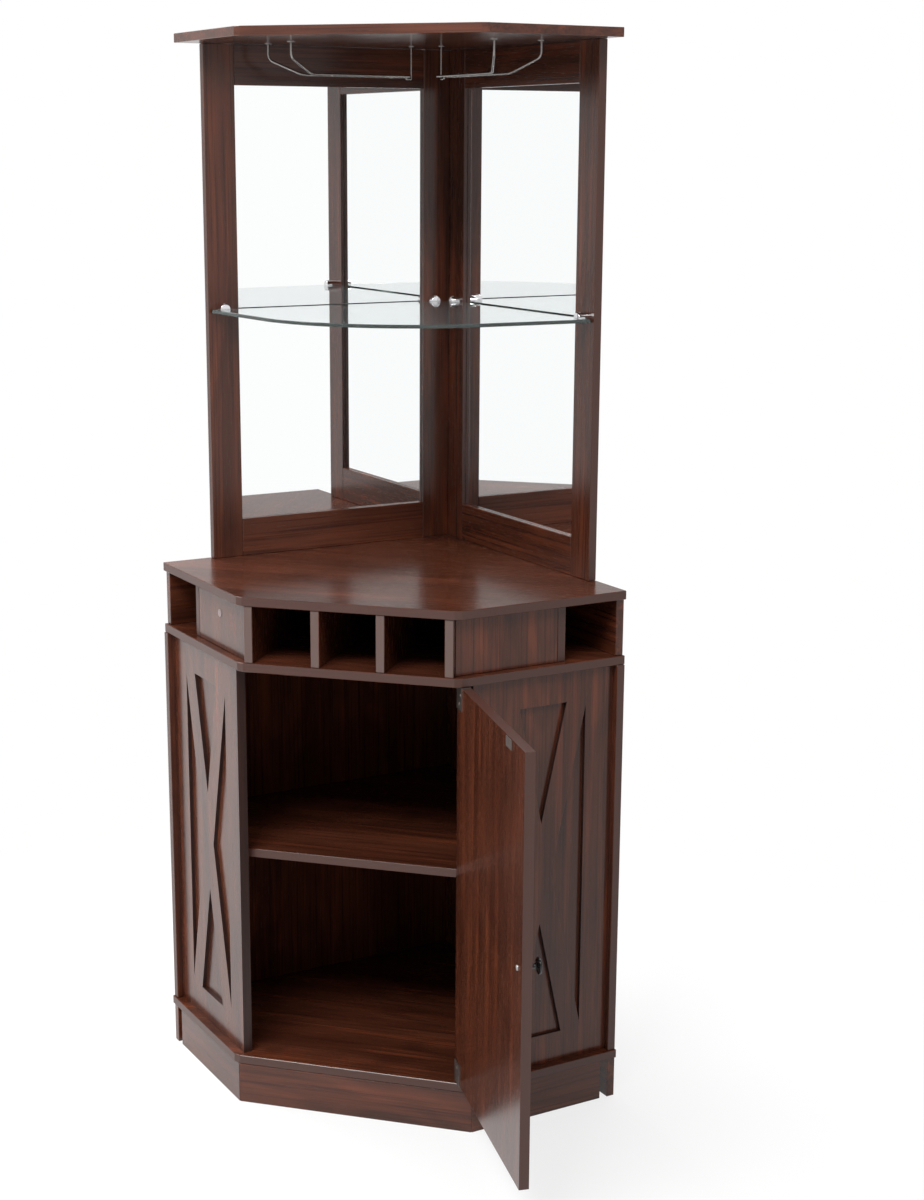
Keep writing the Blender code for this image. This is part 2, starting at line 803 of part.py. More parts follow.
def build_mirror_frames(wood, backing, mirror):
    """A rebated frame on each wall, holding a mirror and its backing sheet."""
    low = counter_top + fit_gap
    high = hutch_top - fit_gap
    half_gap = fit_gap / 2 / HALF
    lap = mirror_lap
    open_low = low + frame_rail
    open_high = high - frame_rail
    for side, word in ((-1, "left"), (1, "right")):
        angle = wall_angle(side)
        near = frame_open_near - lap + fit_gap
        far = frame_open_far + lap - fit_gap
        base = open_low - lap + fit_gap
        top = open_high + lap - fit_gap
        plan = wall_rect(side, near, far, 0.0, backing_thick)
        prism("mirror_backing_" + word, plan, base, top, backing, angle, 0.0)
        back = backing_thick + fit_gap
        plan = wall_rect(side, near, far, back, back + mirror_thick)
        prism("mirror_" + word, plan, base, top, mirror, angle, 0.0)
        plan = [
            wall_point(side, frame_open_far + fit_gap, frame_thick),
            wall_point(side, frame_length, frame_thick),
            wall_point(side, frame_length, 0.0),
            wall_point(side, frame_open_far + lap, 0.0),
            wall_point(side, frame_open_far + lap, rebate_deep),
            wall_point(side, frame_open_far + fit_gap, rebate_deep),
        ]
        prism("stile_outer_" + word, plan, low, high, wood, angle)
        plan = [
            wall_point(side, frame_open_near - fit_gap, frame_thick),
            wall_point(side, frame_open_near - fit_gap, rebate_deep),
            wall_point(side, frame_open_near - lap, rebate_deep),
            wall_point(side, frame_open_near - lap, 0.0),
            wall_point(side, half_gap, 0.0),
            wall_point(side, frame_thick + half_gap, frame_thick),
        ]
        prism("stile_inner_" + word, plan, low, high, wood, angle)
        for stem, edge, rail_end, hand in (("top", open_high, high, 1), ("bottom", open_low, low, -1)):
            section = [
                (0.0, rail_end),
                (frame_thick, rail_end),
                (frame_thick, edge),
                (rebate_deep, edge),
                (rebate_deep, edge + hand * lap),
                (0.0, edge + hand * lap),
            ]
            wall_bar("rail_" + stem + "_" + word, side, frame_open_near, frame_open_far, section, wood)


def wall_rect(side, near, far, back, front):
    """Plain rectangle by a wall."""
    return [
        wall_point(side, near, back),
        wall_point(side, far, back),
        wall_point(side, far, front),
        wall_point(side, near, front),
    ]


def build_glass_shelf(glass, chrome):
    """Corner shelf of glass with a bowed front, held in four slotted clips."""
    perp = frame_thick + glass_stand
    root = wall_point(1, perp, perp)
    nose = Vector((glass_nose * HALF, root.y - glass_nose * HALF))
    middle = glass_end - glass_bow_in - glass_bow_radius
    across = glass_end - middle
    along = middle - perp
    start = math.acos(glass_bow_radius / math.hypot(across, along)) - math.atan2(along, across)
    plan = [Vector((-nose.x, nose.y)), wall_point(-1, glass_end, perp)]
    for i in range(arc_steps + 1):
        a = start + (math.pi / 2 - 2 * start) * i / arc_steps
        out = middle + glass_bow_radius * math.cos(a)
        off = middle + glass_bow_radius * math.sin(a)
        plan.append(wall_point(-1, out, off))
    plan += [wall_point(1, glass_end, perp), nose]
    prism("glass_shelf", plan, glass_height - glass_thick, glass_height, glass, 0.0, glass_thick * 0.12)
    number = 1
    for side in (-1, 1):
        for out in (clip_far, clip_near):
            build_clip("shelf_clip_%d" % number, side, out, chrome)
            number += 1


def build_clip(name, side, out, chrome):
    """Short round bar standing off the frame, slotted to take the glass."""
    middle = glass_height - glass_thick / 2
    slot = glass_thick / 2 + fit_gap
    back = fit_gap
    root = glass_stand - 2 * fit_gap
    lift = clip_radius - slot - clip_jaw
    rim = clip_radius * 0.1
    outline = []
    for k in range(disc_sides):
        a = 2 * math.pi * (k + 0.5) / disc_sides
        outline.append((clip_radius * math.cos(a), clip_radius * math.sin(a) + lift))
    upper = cut_outline(outline, slot, True)
    lower = cut_outline(outline, -slot, False)
    bm = bmesh.new()
    y0 = -back
    y1 = -(back + root)
    y2 = -(back + clip_reach - rim)
    y3 = -(back + clip_reach)
    fit_u = [bm.verts.new((x, y1, z)) for x, z in upper]
    fit_l = [bm.verts.new((x, y1, z)) for x, z in lower]
    full = fit_u + fit_l
    base = [bm.verts.new((v.co.x, y0, v.co.z)) for v in full]
    bm.faces.new(base)
    for k in range(len(full)):
        m = (k + 1) % len(full)
        bm.faces.new((base[k], base[m], full[m], full[k]))
    bm.faces.new((fit_u[-1], fit_l[0], fit_l[-1], fit_u[0]))
    for near, points, cut in ((fit_u, upper, slot), (fit_l, lower, -slot)):
        shrink = 1 - rim / clip_radius
        mid = [bm.verts.new((x, y2, z)) for x, z in points]
        tip = []
        for x, z in points:
            z_new = (z - cut) * shrink + cut
            tip.append(bm.verts.new((x * shrink, y3, z_new)))
        bm.faces.new(tip)
        for first, second in ((near, mid), (mid, tip)):
            for k in range(len(points)):
                m = (k + 1) % len(points)
                bm.faces.new((first[k], first[m], second[m], second[k]))
    at = wall_point(side, out, frame_thick)
    link_mesh(name, bm, chrome, (at.x, at.y, middle), wall_angle(side))


def cut_outline(outline, level, above):
    """Part of a round outline above or below a level, its cut edge last."""
    points = keep_side(outline, 1, level, 1 if above else -1)
    for k in range(len(points)):
        if points[k][1] == level and points[k - 1][1] == level:
            return points[k:] + points[:k]
    return points


def build_stemware_racks(chrome):
    """One bent wire and one hook under the top board on each side."""
    top = hutch_top - fit_gap
    rail_z = hutch_top - rack_drop
    flare = Vector((0.0, 0.0, flange_thick))
    for side, word in ((-1, "left"), (1, "right")):
        points = []
        for hand in (1, -1):
            run = [
                (rack_leg_at, hand * rack_mouth_half, top),
                (rack_leg_at, hand * rack_mouth_half, top - rack_leg_straight),
                (rack_rail_at, hand * rack_gap_half, rail_z),
                (rack_end_at + rack_gap_half, hand * rack_gap_half, rail_z),
            ]
            if hand < 0:
                run.reverse()
            points.append(run)
        turn = []
        for k in range(1, 8):
            a = math.pi * k / 8
            reach = rack_gap_half * math.sin(a)
            turn.append((rack_end_at + rack_gap_half - reach, rack_gap_half * math.cos(a), rail_z))
        first = rounded_path([place_wire(side, p) for p in points[0]], wire_bend)
        middle = [place_wire(side, p) for p in turn]
        last = rounded_path([place_wire(side, p) for p in points[1]], wire_bend)
        path = first + middle + last
        start = path[0]
        end = path[-1]
        head = [start, start - flare, start - flare * flange_taper_share]
        foot = [end - flare * flange_taper_share, end - flare, end]
        path = head + path[1:-1] + foot
        flange = [flange_radius, flange_radius]
        radii = flange + [wire_radius] * (len(path) - 4) + flange
        middle_at = place_wire(side, (rack_rail_at, 0.0, rail_z))
        sweep("stemware_rack_" + word, path, radii, chrome, middle_at)
        low = rail_z - wire_radius - fit_gap - hook_radius
        corners = (
            (rack_end_at - hook_half, top),
            (rack_end_at - hook_half, low),
            (rack_end_at + hook_half, low),
            (rack_end_at + hook_half, low + hook_rise),
        )
        bends = [place_wire(side, (out, 0.0, z)) for out, z in corners]
        hook = rounded_path(bends, wire_radius, 3)
        start = hook[0]
        hook = [start, start - flare, start - flare * flange_taper_share] + hook[1:]
        radii = [hook_flange_radius, hook_flange_radius] + [hook_radius] * (len(hook) - 2)
        sweep("rack_hook_" + word, hook, radii, chrome, start)


def place_wire(side, spot):
    """World point of a wire spot given as out, offset and height."""
    out, offset, z = spot
    at = wall_point(side, out, rack_middle + offset)
    return Vector((at.x, at.y, z))


def build_all():
    """Clear the scene and build every piece."""
    for obj in list(bpy.data.objects):
        bpy.data.objects.remove(obj, do_unlink=True)
    wood = make_material("laminate", (0.060, 0.026, 0.020), 0.38)
    backing = make_material("hardboard", (0.090, 0.055, 0.035), 0.75)
    mirror = make_material("mirror_glass", (0.86, 0.88, 0.88), 0.02, 1.0)
    glass = make_material("clear_glass", (0.62, 0.72, 0.68), 0.03)
    chrome = make_material("chrome_plate", (0.72, 0.72, 0.73), 0.12, 1.0)
    zinc = make_material("zinc_steel", (0.50, 0.50, 0.51), 0.35, 1.0)
    black = make_material("black_knob", (0.012, 0.011, 0.012), 0.30)
    plastic = make_material("brown_plastic", (0.030, 0.018, 0.014), 0.50)
    cap = make_material("pale_cap", (0.30, 0.25, 0.25), 0.45)

    build_boards(wood)
    build_walls(wood)
    build_plinth(wood)
    build_side_panels(wood)
    build_bottle_rack(wood, cap)
    build_inner_shelf(wood, zinc)
    build_door(wood, zinc, black, plastic)
    build_mirror_frames(wood, backing, mirror)
    build_glass_shelf(glass, chrome)
    build_stemware_racks(chrome)


build_all()
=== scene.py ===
# %% [markdown]
# # A corner bar cabinet
#
# The cabinet stands in a room corner. Its lower half is a cupboard with one
# door, above it is a row of cubbies, and on the counter stand two mirrored
# frames with a glass shelf and two wire racks. The pieces come from the
# construction model, already in place and in metres. This script gives them
# their finishes, adds the small hardware, and sets up the studio.

# %% Load the imported cabinet
import json
import math

import bmesh
import bpy
from mathutils import Matrix, Vector


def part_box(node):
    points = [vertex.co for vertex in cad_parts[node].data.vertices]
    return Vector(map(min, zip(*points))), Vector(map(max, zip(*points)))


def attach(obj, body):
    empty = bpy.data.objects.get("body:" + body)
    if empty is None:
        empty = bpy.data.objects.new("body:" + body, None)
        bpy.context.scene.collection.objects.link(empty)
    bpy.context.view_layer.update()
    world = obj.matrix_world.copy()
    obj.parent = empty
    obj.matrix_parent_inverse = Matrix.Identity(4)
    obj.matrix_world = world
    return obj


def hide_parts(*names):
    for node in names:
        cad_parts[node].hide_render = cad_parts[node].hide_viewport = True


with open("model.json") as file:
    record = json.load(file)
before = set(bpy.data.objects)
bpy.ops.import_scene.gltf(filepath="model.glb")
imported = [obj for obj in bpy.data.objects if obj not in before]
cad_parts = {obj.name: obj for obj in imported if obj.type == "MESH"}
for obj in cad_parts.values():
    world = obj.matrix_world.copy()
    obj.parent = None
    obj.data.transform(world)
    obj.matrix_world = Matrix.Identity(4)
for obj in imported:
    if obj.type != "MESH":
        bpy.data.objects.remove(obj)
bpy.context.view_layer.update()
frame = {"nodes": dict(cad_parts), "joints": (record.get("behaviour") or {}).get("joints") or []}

nodes = frame["nodes"]

# %% [markdown]
# ## The camera
#
# The photograph looks slightly down at the cabinet from the right. A camera
# could be aimed with a constraint, but a fitted view is easier to repeat when
# it is written as a place and three turns. The lens axis does not pass through
# the middle of the picture, so a small shift of the sensor takes that up.

# %% Put the camera where the photographer stood
picture_wide = 924
picture_high = 1200
camera_place = Vector((0.97314, -3.00661, 1.62248))
camera_yaw = math.radians(-15.785)
camera_pitch = math.radians(13.355)
camera_roll = math.radians(0.131)
focal_pixels = 1996.7
axis_pixel = Vector((424.94, 623.0))
sensor_size = 36.0


def camera_matrix():
    """World matrix of a camera turned by yaw, tipped by pitch and rolled."""
    level = math.cos(camera_pitch)
    ahead = Vector((math.sin(camera_yaw) * level, math.cos(camera_yaw) * level, -math.sin(camera_pitch)))
    right = Vector((math.cos(camera_yaw), -math.sin(camera_yaw), 0.0))
    up = right.cross(ahead)
    turned_right = right * math.cos(camera_roll) + up * math.sin(camera_roll)
    turned_up = up * math.cos(camera_roll) - right * math.sin(camera_roll)
    turn = Matrix((turned_right, turned_up, -ahead)).transposed()
    return Matrix.Translation(camera_place) @ turn.to_4x4()


lens = bpy.data.cameras.new("camera")
lens.sensor_width = sensor_size
lens.lens = sensor_size * focal_pixels / picture_high
lens.shift_x = (picture_wide / 2 - axis_pixel.x) / picture_high
lens.shift_y = (axis_pixel.y - picture_high / 2) / picture_high
camera = bpy.data.objects.new("camera", lens)
bpy.context.scene.collection.objects.link(camera)
camera.matrix_world = camera_matrix()
bpy.context.scene.camera = camera
print("lens", round(lens.lens, 2), "mm, shift", round(lens.shift_x, 4), round(lens.shift_y, 4))

# %% [markdown]
# ## Writing shaders as sums
#
# A shader is a graph of nodes. It could be laid out by hand, or written line
# by line with links, but both hide the idea. Here a small class wraps the
# output of a node, so that `1 - mask` or `a * b + c` add the Math nodes by
# themselves. Only the operators that the recipes below use are there.

# %% A socket that can be added, subtracted and multiplied


class Strand:
    """The output of a shader node, on which Python's operators build Math nodes."""

    def __init__(self, finish, socket):
        self.finish = finish
        self.socket = socket

    def other(self, name):
        """Another output of the same node."""
        return Strand(self.finish, self.socket.node.outputs[name])

    def sum(self, operation, first, second):
        return self.finish.add("ShaderNodeMath", {"operation": operation}, {0: first, 1: second})

    def __add__(self, other):
        return self.sum("ADD", self, other)

    __radd__ = __add__

    def __sub__(self, other):
        return self.sum("SUBTRACT", self, other)

    def __rsub__(self, other):
        return self.sum("SUBTRACT", other, self)

    def __mul__(self, other):
        return self.sum("MULTIPLY", self, other)

    __rmul__ = __mul__


print("sockets add, subtract and multiply")

# %% [markdown]
# ## Node trees
#
# Every other kind of node comes from one method that sets its options first
# and then fills its sockets with numbers or with links. A material and the
# world share it, and a material also has a Principled shader to fill.

# %% A tree that nodes are added to, and a material made with it


class Graph:
    """A node tree, and the two ways of putting something into it."""

    def __init__(self, tree):
        self.tree = tree

    def fill(self, socket, value):
        """Put a link, a number, a vector or a colour into an input socket."""
        if isinstance(value, Strand):
            self.tree.links.new(value.socket, socket)
        elif socket.type == "RGBA" and len(value) == 3:
            socket.default_value = (*value, 1.0)
        else:
            socket.default_value = value

    def add(self, kind, settings=None, sockets=None, take=0):
        """Add a node, set its options and sockets, and return one output."""
        node = self.tree.nodes.new(kind)
        for name, value in (settings or {}).items():
            setattr(node, name, value)
        for name, value in (sockets or {}).items():
            self.fill(node.inputs[name], value)
        return Strand(self, node.outputs[take])


class Finish(Graph):
    """A material while it is being made, with its Principled shader."""

    def __init__(self, name):
        self.material = bpy.data.materials.new(name)
        self.material.use_nodes = True
        super().__init__(self.material.node_tree)
        self.shader = self.tree.nodes["Principled BSDF"]

    def surface(self, **sockets):
        """Fill the Principled shader's sockets, named with underscores."""
        for name, value in sockets.items():
            self.fill(self.shader.inputs[name.replace("_", " ").title().replace("Ior", "IOR")], value)
        return self.material


print("node trees ready")

# %% [markdown]
# ## Helpers for patterns
#
# Most finishes here are made from the same few steps: a point on the piece,
# noise stretched in one direction, a soft threshold, and a mix of two colours.
# Each gets a short name. The points are the pieces' own coordinates, so that a
# pattern stays on the door when the door swings.

# %% Short names for the usual steps
lattice_tilt = (0.61, 0.47, 0.73)
bevel_samples = 6
arris_start = 0.02
arris_full = 0.22


def own_point(finish):
    """Coordinates of the piece itself, in metres."""
    return finish.add("ShaderNodeTexCoord", take="Object")


def stretched(finish, point, size, turn=(0.0, 0.0, 0.0), shift=(0.0, 0.0, 0.0)):
    """Coordinates in which one unit is `size` long along three turned axes."""
    return finish.add("ShaderNodeMapping", {"vector_type": "TEXTURE"},
                      {"Vector": point, "Location": shift, "Rotation": turn, "Scale": size})


def noise(finish, vector, detail=2.0, roughness=0.5):
    """Cloudy value between 0 and 1, its lattice tilted so that no board lies along it."""
    tilted = finish.add("ShaderNodeMapping", {"vector_type": "POINT"},
                        {"Vector": vector, "Rotation": lattice_tilt})
    return finish.add("ShaderNodeTexNoise", {"noise_dimensions": "3D"},
                      {"Vector": tilted, "Scale": 1.0, "Detail": detail, "Roughness": roughness})


def step_up(finish, value, start, end):
    """Soft step from 0 at `start` to 1 at `end`."""
    return finish.add("ShaderNodeMapRange", {"interpolation_type": "SMOOTHSTEP"},
                      {"Value": value, "From Min": start, "From Max": end})


def mix_colour(finish, mask, first, second):
    """Colour between two, by a mask."""
    return finish.add("ShaderNodeMix", {"data_type": "RGBA"}, {0: mask, 6: first, 7: second}, take=2)


def dot(finish, first, second):
    """Dot product of two directions."""
    return finish.add("ShaderNodeVectorMath", {"operation": "DOT_PRODUCT"},
                      {0: first, 1: second}, take="Value")


def arris(finish, radius):
    """Mask of the sharp edges: where a rounded normal leaves the true one."""
    softened = finish.add("ShaderNodeBevel", {"samples": bevel_samples}, {"Radius": radius})
    true = finish.add("ShaderNodeNewGeometry", take="True Normal")
    return step_up(finish, 1 - dot(finish, softened, true), arris_start, arris_full)


def facing(finish, direction):
    """How squarely a face looks along a direction of the piece itself, 0 to 1."""
    normal = finish.add("ShaderNodeTexCoord", take="Normal")
    return finish.add("ShaderNodeMath", {"operation": "ABSOLUTE"}, {0: dot(finish, normal, direction)})


print("pattern helpers ready")

# %% [markdown]
# ## Dark wood laminate
#
# The boards are particle board with a printed wood paper, pressed under a
# satin resin. A photograph of wood could be mapped on, but then every board
# needs its own mapping and the print repeats. Here the print is made from
# noise in space, stretched along the grain, so each board is cut from the same
# endless plank and no two are alike. It has broad colour drift, redder bands,
# the curved growth figure, narrow dark streaks, fine pores, and faint smears in
# the gloss. The cut edges carry a strip of plain edge band, a little greyer and
# paler than the print, and on the rack uprights the paler band is partly a
# painted sheen. It is found from the direction in which a face looks, and so
# are the sunk walls and cut edges of the X panels, which get a painted shade.
# The arrises are lighter, partly as wear and partly as a painted highlight.

# %% Colours and measures of the print
dark_bark = (0.0170, 0.0055, 0.0035)
deep_brown = (0.0540, 0.0150, 0.0075)
warm_brown = (0.0960, 0.0280, 0.0140)
red_brown = (0.1600, 0.0400, 0.0160)
band_brown = (0.0580, 0.0240, 0.0180)
# Paler edge band of the rack uprights, partly a painted sheen
pale_band_and_sheen = (0.1050, 0.0660, 0.0580)
# Painted shade on the sunk walls and cut edges of the X panels
painted_groove_shade = (0.0200, 0.0080, 0.0060)
# Lighter arrises, partly wear and partly a painted highlight
rub_and_highlight_brown = (0.1600, 0.0750, 0.0520)

# Length along the grain and widths across it, in metres
broad_size = (0.90, 0.075, 0.075)
drift_size = (0.45, 0.020, 0.020)
bend_size = (0.60, 0.16, 0.16)
streak_size = (0.30, 0.0042, 0.0042)
pore_size = (0.028, 0.0007, 0.0007)
smear_size = (0.25, 0.25, 0.25)
ring_turns = 64.0
ring_waver = 5.0

# Where the soft step of each layer starts and ends
broad_range = (0.34, 0.66)
drift_range = (0.48, 0.68)
figure_range = (-0.9, 1.0)
streak_range = (0.47, 0.67)
pore_range = (0.60, 0.70)
band_range = (0.35, 0.60)
strip_range = (0.45, 0.70)

# How much of a colour each layer lays on
red_share = 0.58
figure_dark = 0.26
streak_dark = 0.60
pore_dark = 0.45
strip_warm = 0.20
# Share of the lighter arris colour (wear and painted highlight), and how much less of it the band faces get
rub_and_highlight_share = 0.40
rub_and_highlight_share_lost = 0.25
rub_and_highlight_wide = 0.0011

# Gloss of the resin and what changes it
print_gloss = 0.21
print_shine = 0.42
smear_dull = 0.06
pore_dull = 0.08
rub_dull = 0.08
band_dull = 0.20
grain_bump = 0.06
grain_deep = 0.0003
print("streaks", round(1000 * streak_size[1], 1), "mm wide, pores", round(1000 * pore_size[1], 1), "mm")

# %% [markdown]
# ## The print, layer by layer
#
# First the values: each is a noise in space, stretched along the grain. Then
# the colours go on from the broadest to the finest, as a print cylinder lays
# its inks, with the edge band, the painted shade of the sunk panel walls, and
# the arrises, lighter as wear and as a painted highlight, last.

# %% The laminate's recipe


def grain_values(made, turn, shift):
    """Broad colour, red drift, growth figure, streaks, pores and smears of the print."""
    point = own_point(made)

    def cloud(size, detail, roughness):
        return noise(made, stretched(made, point, size, turn, shift), detail, roughness)

    broad = cloud(broad_size, 3.0, 0.55)
    drift = cloud(drift_size, 4.0, 0.60)
    bend = cloud(bend_size, 2.0, 0.45)
    rings = made.add("ShaderNodeMath", {"operation": "SINE"}, {0: bend * ring_turns + drift * ring_waver})
    figure = step_up(made, rings, *figure_range)
    streak = cloud(streak_size, 3.0, 0.65)
    pores = step_up(made, cloud(pore_size, 2.0, 0.5), *pore_range)
    return broad, drift, figure, streak, pores, cloud(smear_size, 3.0, 0.6)


def laminate(name, turn, shift, face=None, band_and_shade_colour=band_brown):
    """Printed wood laminate whose grain runs along the turned X axis."""
    made = Finish(name)
    broad, drift, figure, streak, pores, smear = grain_values(made, turn, shift)
    colour = mix_colour(made, step_up(made, broad, *broad_range), deep_brown, warm_brown)
    colour = mix_colour(made, step_up(made, drift, *drift_range) * red_share, colour, red_brown)
    colour = mix_colour(made, figure * figure_dark, colour, dark_bark)
    colour = mix_colour(made, step_up(made, streak, *streak_range) * streak_dark, colour, dark_bark)
    colour = mix_colour(made, pores * pore_dark, colour, dark_bark)
    band_and_shade_mask = 0.0
    # Faces that don't look along `face` get the band colour: edge band on most boards, painted shade on the
    # X panels
    if face:
        band_and_shade_mask = 1 - step_up(made, facing(made, face), *band_range)
        fleck = step_up(made, streak, *strip_range) * strip_warm
        band_and_shade_tone = mix_colour(made, fleck, band_and_shade_colour, warm_brown)
        colour = mix_colour(made, band_and_shade_mask, colour, band_and_shade_tone)
    # Lighter arrises: wear, and partly a painted highlight
    rub_and_highlight = arris(made, rub_and_highlight_wide)
    colour = mix_colour(made, rub_and_highlight * (rub_and_highlight_share - rub_and_highlight_share_lost * band_and_shade_mask), colour, rub_and_highlight_brown)

    gloss = print_gloss + (smear - 0.5) * smear_dull + pores * pore_dull + rub_and_highlight * rub_dull + band_and_shade_mask * band_dull
    normal = made.add("ShaderNodeBump", None, {"Strength": grain_bump, "Distance": grain_deep,
                                               "Height": 0.5 * streak - 0.8 * pores})
    return made.surface(base_color=colour, roughness=gloss, normal=normal, specular_ior_level=print_shine)


print("laminate recipe ready")

# %% [markdown]
# ## Directions of grain and of faces
#
# The walls of the corner run at 45 degrees, and the door stands open by the
# angle that its joint keeps as the way back to closed. A board could be asked
# for its own direction, but few directions occur here, so each gets a name.

# %% Name the directions, and dress a board
quarter_turn = math.radians(90.0)
wall_turn = math.radians(45.0)
grain_up = (0.0, -quarter_turn, 0.0)
grain_across = (0.0, 0.0, 0.0)
grain_left_wall = (0.0, 0.0, wall_turn)
grain_right_wall = (0.0, 0.0, -wall_turn)

slope = math.sqrt(0.5)
door_hinge = frame["joints"][0]
door_turn = -math.radians(door_hinge["range_deg"][0])
door_face = (math.sin(door_turn), -math.cos(door_turn), 0.0)
wall_left_face = (slope, -slope, 0.0)
wall_right_face = (slope, slope, 0.0)


def dress(material, *names):
    """Give CAD pieces one material."""
    for name in names:
        slots = nodes[name].data.materials
        slots.clear()
        slots.append(material)


def both(*stems):
    """Names of the left and the right piece of each stem."""
    return [stem + "_" + hand for stem in stems for hand in ("left", "right")]


print("door open by", round(math.degrees(door_turn), 1), "degrees")

# %% [markdown]
# ## Which board has which print
#
# Boards that meet in real life are cut from different sheets. So the pieces
# are grouped by level, direction and broad face, and each group looks at
# another part of the endless plank. Uprights have their grain upright, boards
# have it crosswise, and rails and plinth boards have it along their length.

# %% Lay the laminate on every board
groups = {
    "boards": (grain_across, (0.0, 0.0, 1.0),
               ["counter_board", "rack_board", "base_board", "inner_shelf"]),
    "top": (grain_across, None, ["top_board"]),
    "plinth_front": (grain_across, None, ["plinth_front"]),
    "door": (grain_up, door_face, ["door"]),
    "left_panel": (grain_up, wall_right_face, ["side_panel_left"]),
    "fillers": (grain_up, None, both("filler")),
    "rack_uprights": (grain_up, (1.0, 0.0, 0.0), both("bottle_post", "bottle_divider")),
    "left_end": (grain_up, wall_left_face, ["end_divider_left", "wall_panel_left"]),
    "right_end": (grain_up, wall_right_face, ["end_divider_right", "wall_panel_right"]),
    "left_stiles": (grain_up, wall_left_face, ["stile_outer_left", "stile_inner_left"]),
    "right_stiles": (grain_up, wall_right_face, ["stile_outer_right", "stile_inner_right"]),
    "left_wall": (grain_left_wall, None, ["rail_top_left", "rail_bottom_left", "plinth_wall_left",
                                          "rack_wall_left", "plinth_side_right"]),
    "right_wall": (grain_right_wall, None, ["rail_top_right", "rail_bottom_right", "plinth_wall_right",
                                            "rack_wall_right", "plinth_side_left"]),
    "right_panel": (grain_up, wall_left_face, ["side_panel_right"]),
}
# Band colours: a paler band, partly painted sheen, on the rack uprights, and painted shade on the X panels
band_and_shade_colours = {"rack_uprights": pale_band_and_sheen, "left_panel": painted_groove_shade, "right_panel": painted_groove_shade}
sheet_step = Vector((0.37, 0.61, 0.83))
for number, (group, (turn, face, names)) in enumerate(groups.items()):
    made = laminate("laminate_" + group, turn, tuple(sheet_step * number), face,
                    band_and_shade_colours.get(group, band_brown))
    dress(made, *names)
    print("laminate_" + group, "on", len(names), "pieces")

# %% [markdown]
# ## Glass and mirrors
#
# The shelf is float glass with a polished edge, which looks green because the
# light there crosses the whole sheet. A coloured volume would be the true
# way, but a light tint and a darker, greener edge need far fewer samples and
# survive an export. The mirrors are silvered glass: a metal that reflects
# nearly everything, a little cool.

# %% Make the glass shelf and the mirrors
glass_tint = (0.75, 0.82, 0.83)
glass_edge = (0.30, 0.42, 0.38)
silver = (0.975, 0.985, 0.985)
rim_range = (0.3, 0.7)
dust_size = (0.03, 0.03, 0.03)
wipe_size = (0.20, 0.05, 0.12)
mark_range = (0.5, 0.8)
glass_gloss = 0.015
dust_dull = 0.03
mirror_gloss = 0.008
wipe_dull = 0.02


def shelf_glass():
    """Clear glass whose upright edge faces are darker and greener."""
    made = Finish("clear_glass")
    normal = made.add("ShaderNodeNewGeometry", take="True Normal")
    up = made.add("ShaderNodeSeparateXYZ", None, {0: normal}, take="Z")
    rim = step_up(made, 1 - up * up, *rim_range)
    dust = noise(made, stretched(made, own_point(made), dust_size), 4.0, 0.6)
    colour = mix_colour(made, rim, glass_tint, glass_edge)
    gloss = glass_gloss + step_up(made, dust, *mark_range) * dust_dull
    return made.surface(base_color=colour, roughness=gloss, transmission_weight=0.94, ior=1.5)


def mirror_silver():
    """Silvered mirror with faint wipe marks."""
    made = Finish("mirror_glass")
    wipe = noise(made, stretched(made, own_point(made), wipe_size), 4.0, 0.65)
    gloss = mirror_gloss + step_up(made, wipe, *mark_range) * wipe_dull
    return made.surface(base_color=silver, metallic=1.0, roughness=gloss)


dress(shelf_glass(), "glass_shelf")
dress(mirror_silver(), *both("mirror"))
print("glass and mirrors done")

# %% [markdown]
# ## Plated metals
#
# The clips are bright chrome and the racks a duller one. The shelf pins and most
# small screws are zinc plated, and the hinges, the strike plate and their screws
# are bronzed. A clean metal would be simpler, but then every fitting has the
# same hard gloss. One recipe serves all four: its gloss changes a little from
# place to place, and thin scuffs are darker and duller.

# %% Make the platings
scuff_range = (0.58, 0.78)
scuff_dark = 0.25
scuff_shade = 0.6
scuff_dull = 0.10
plating_bump = 0.05
skin_deep = 0.0001


def plated(name, colour, gloss, grit):
    """Metal plating with a faint change of gloss from place to place."""
    made = Finish(name)
    haze = noise(made, stretched(made, own_point(made), (grit, grit, grit)), 4.0, 0.6)
    scuffs = noise(made, stretched(made, own_point(made), (grit * 4, grit / 4, grit / 2)), 3.0, 0.7)
    marks = step_up(made, scuffs, *scuff_range)
    tone = mix_colour(made, marks * scuff_dark, colour, tuple(scuff_shade * c for c in colour))
    normal = made.add("ShaderNodeBump", None, {"Strength": plating_bump, "Distance": skin_deep,
                                               "Height": haze})
    return made.surface(base_color=tone, metallic=1.0, roughness=gloss + haze * gloss + marks * scuff_dull,
                        normal=normal)


chrome = plated("chrome_plate", (0.74, 0.73, 0.74), 0.06, 0.004)
wire_plate = plated("dull_chrome_plate", (0.26, 0.24, 0.23), 0.16, 0.004)
zinc = plated("zinc_steel", (0.46, 0.45, 0.45), 0.26, 0.003)
bronzed = plated("bronzed_steel", (0.20, 0.165, 0.15), 0.32, 0.003)
dress(bronzed, "strike_plate", "hinge_leaf_top", "hinge_leaf_bottom",
      "hinge_socket_top", "hinge_socket_bottom")
dress(zinc, *["shelf_pin_%d" % n for n in (1, 2, 3, 4)])
print("four platings made")

# %% [markdown]
# ## Moulded plastic
#
# The knob, the cover cap and the housing of the catch are moulded. Such plastic
# takes on the fine skin of its mould, and its gloss is cloudy. The skin could be
# left out at this size, but it keeps the highlight of the knob soft. The catch
# has its shape from the construction model, and the others are made further on.
# The brown plastic also stands for the dried glue in the mitres.

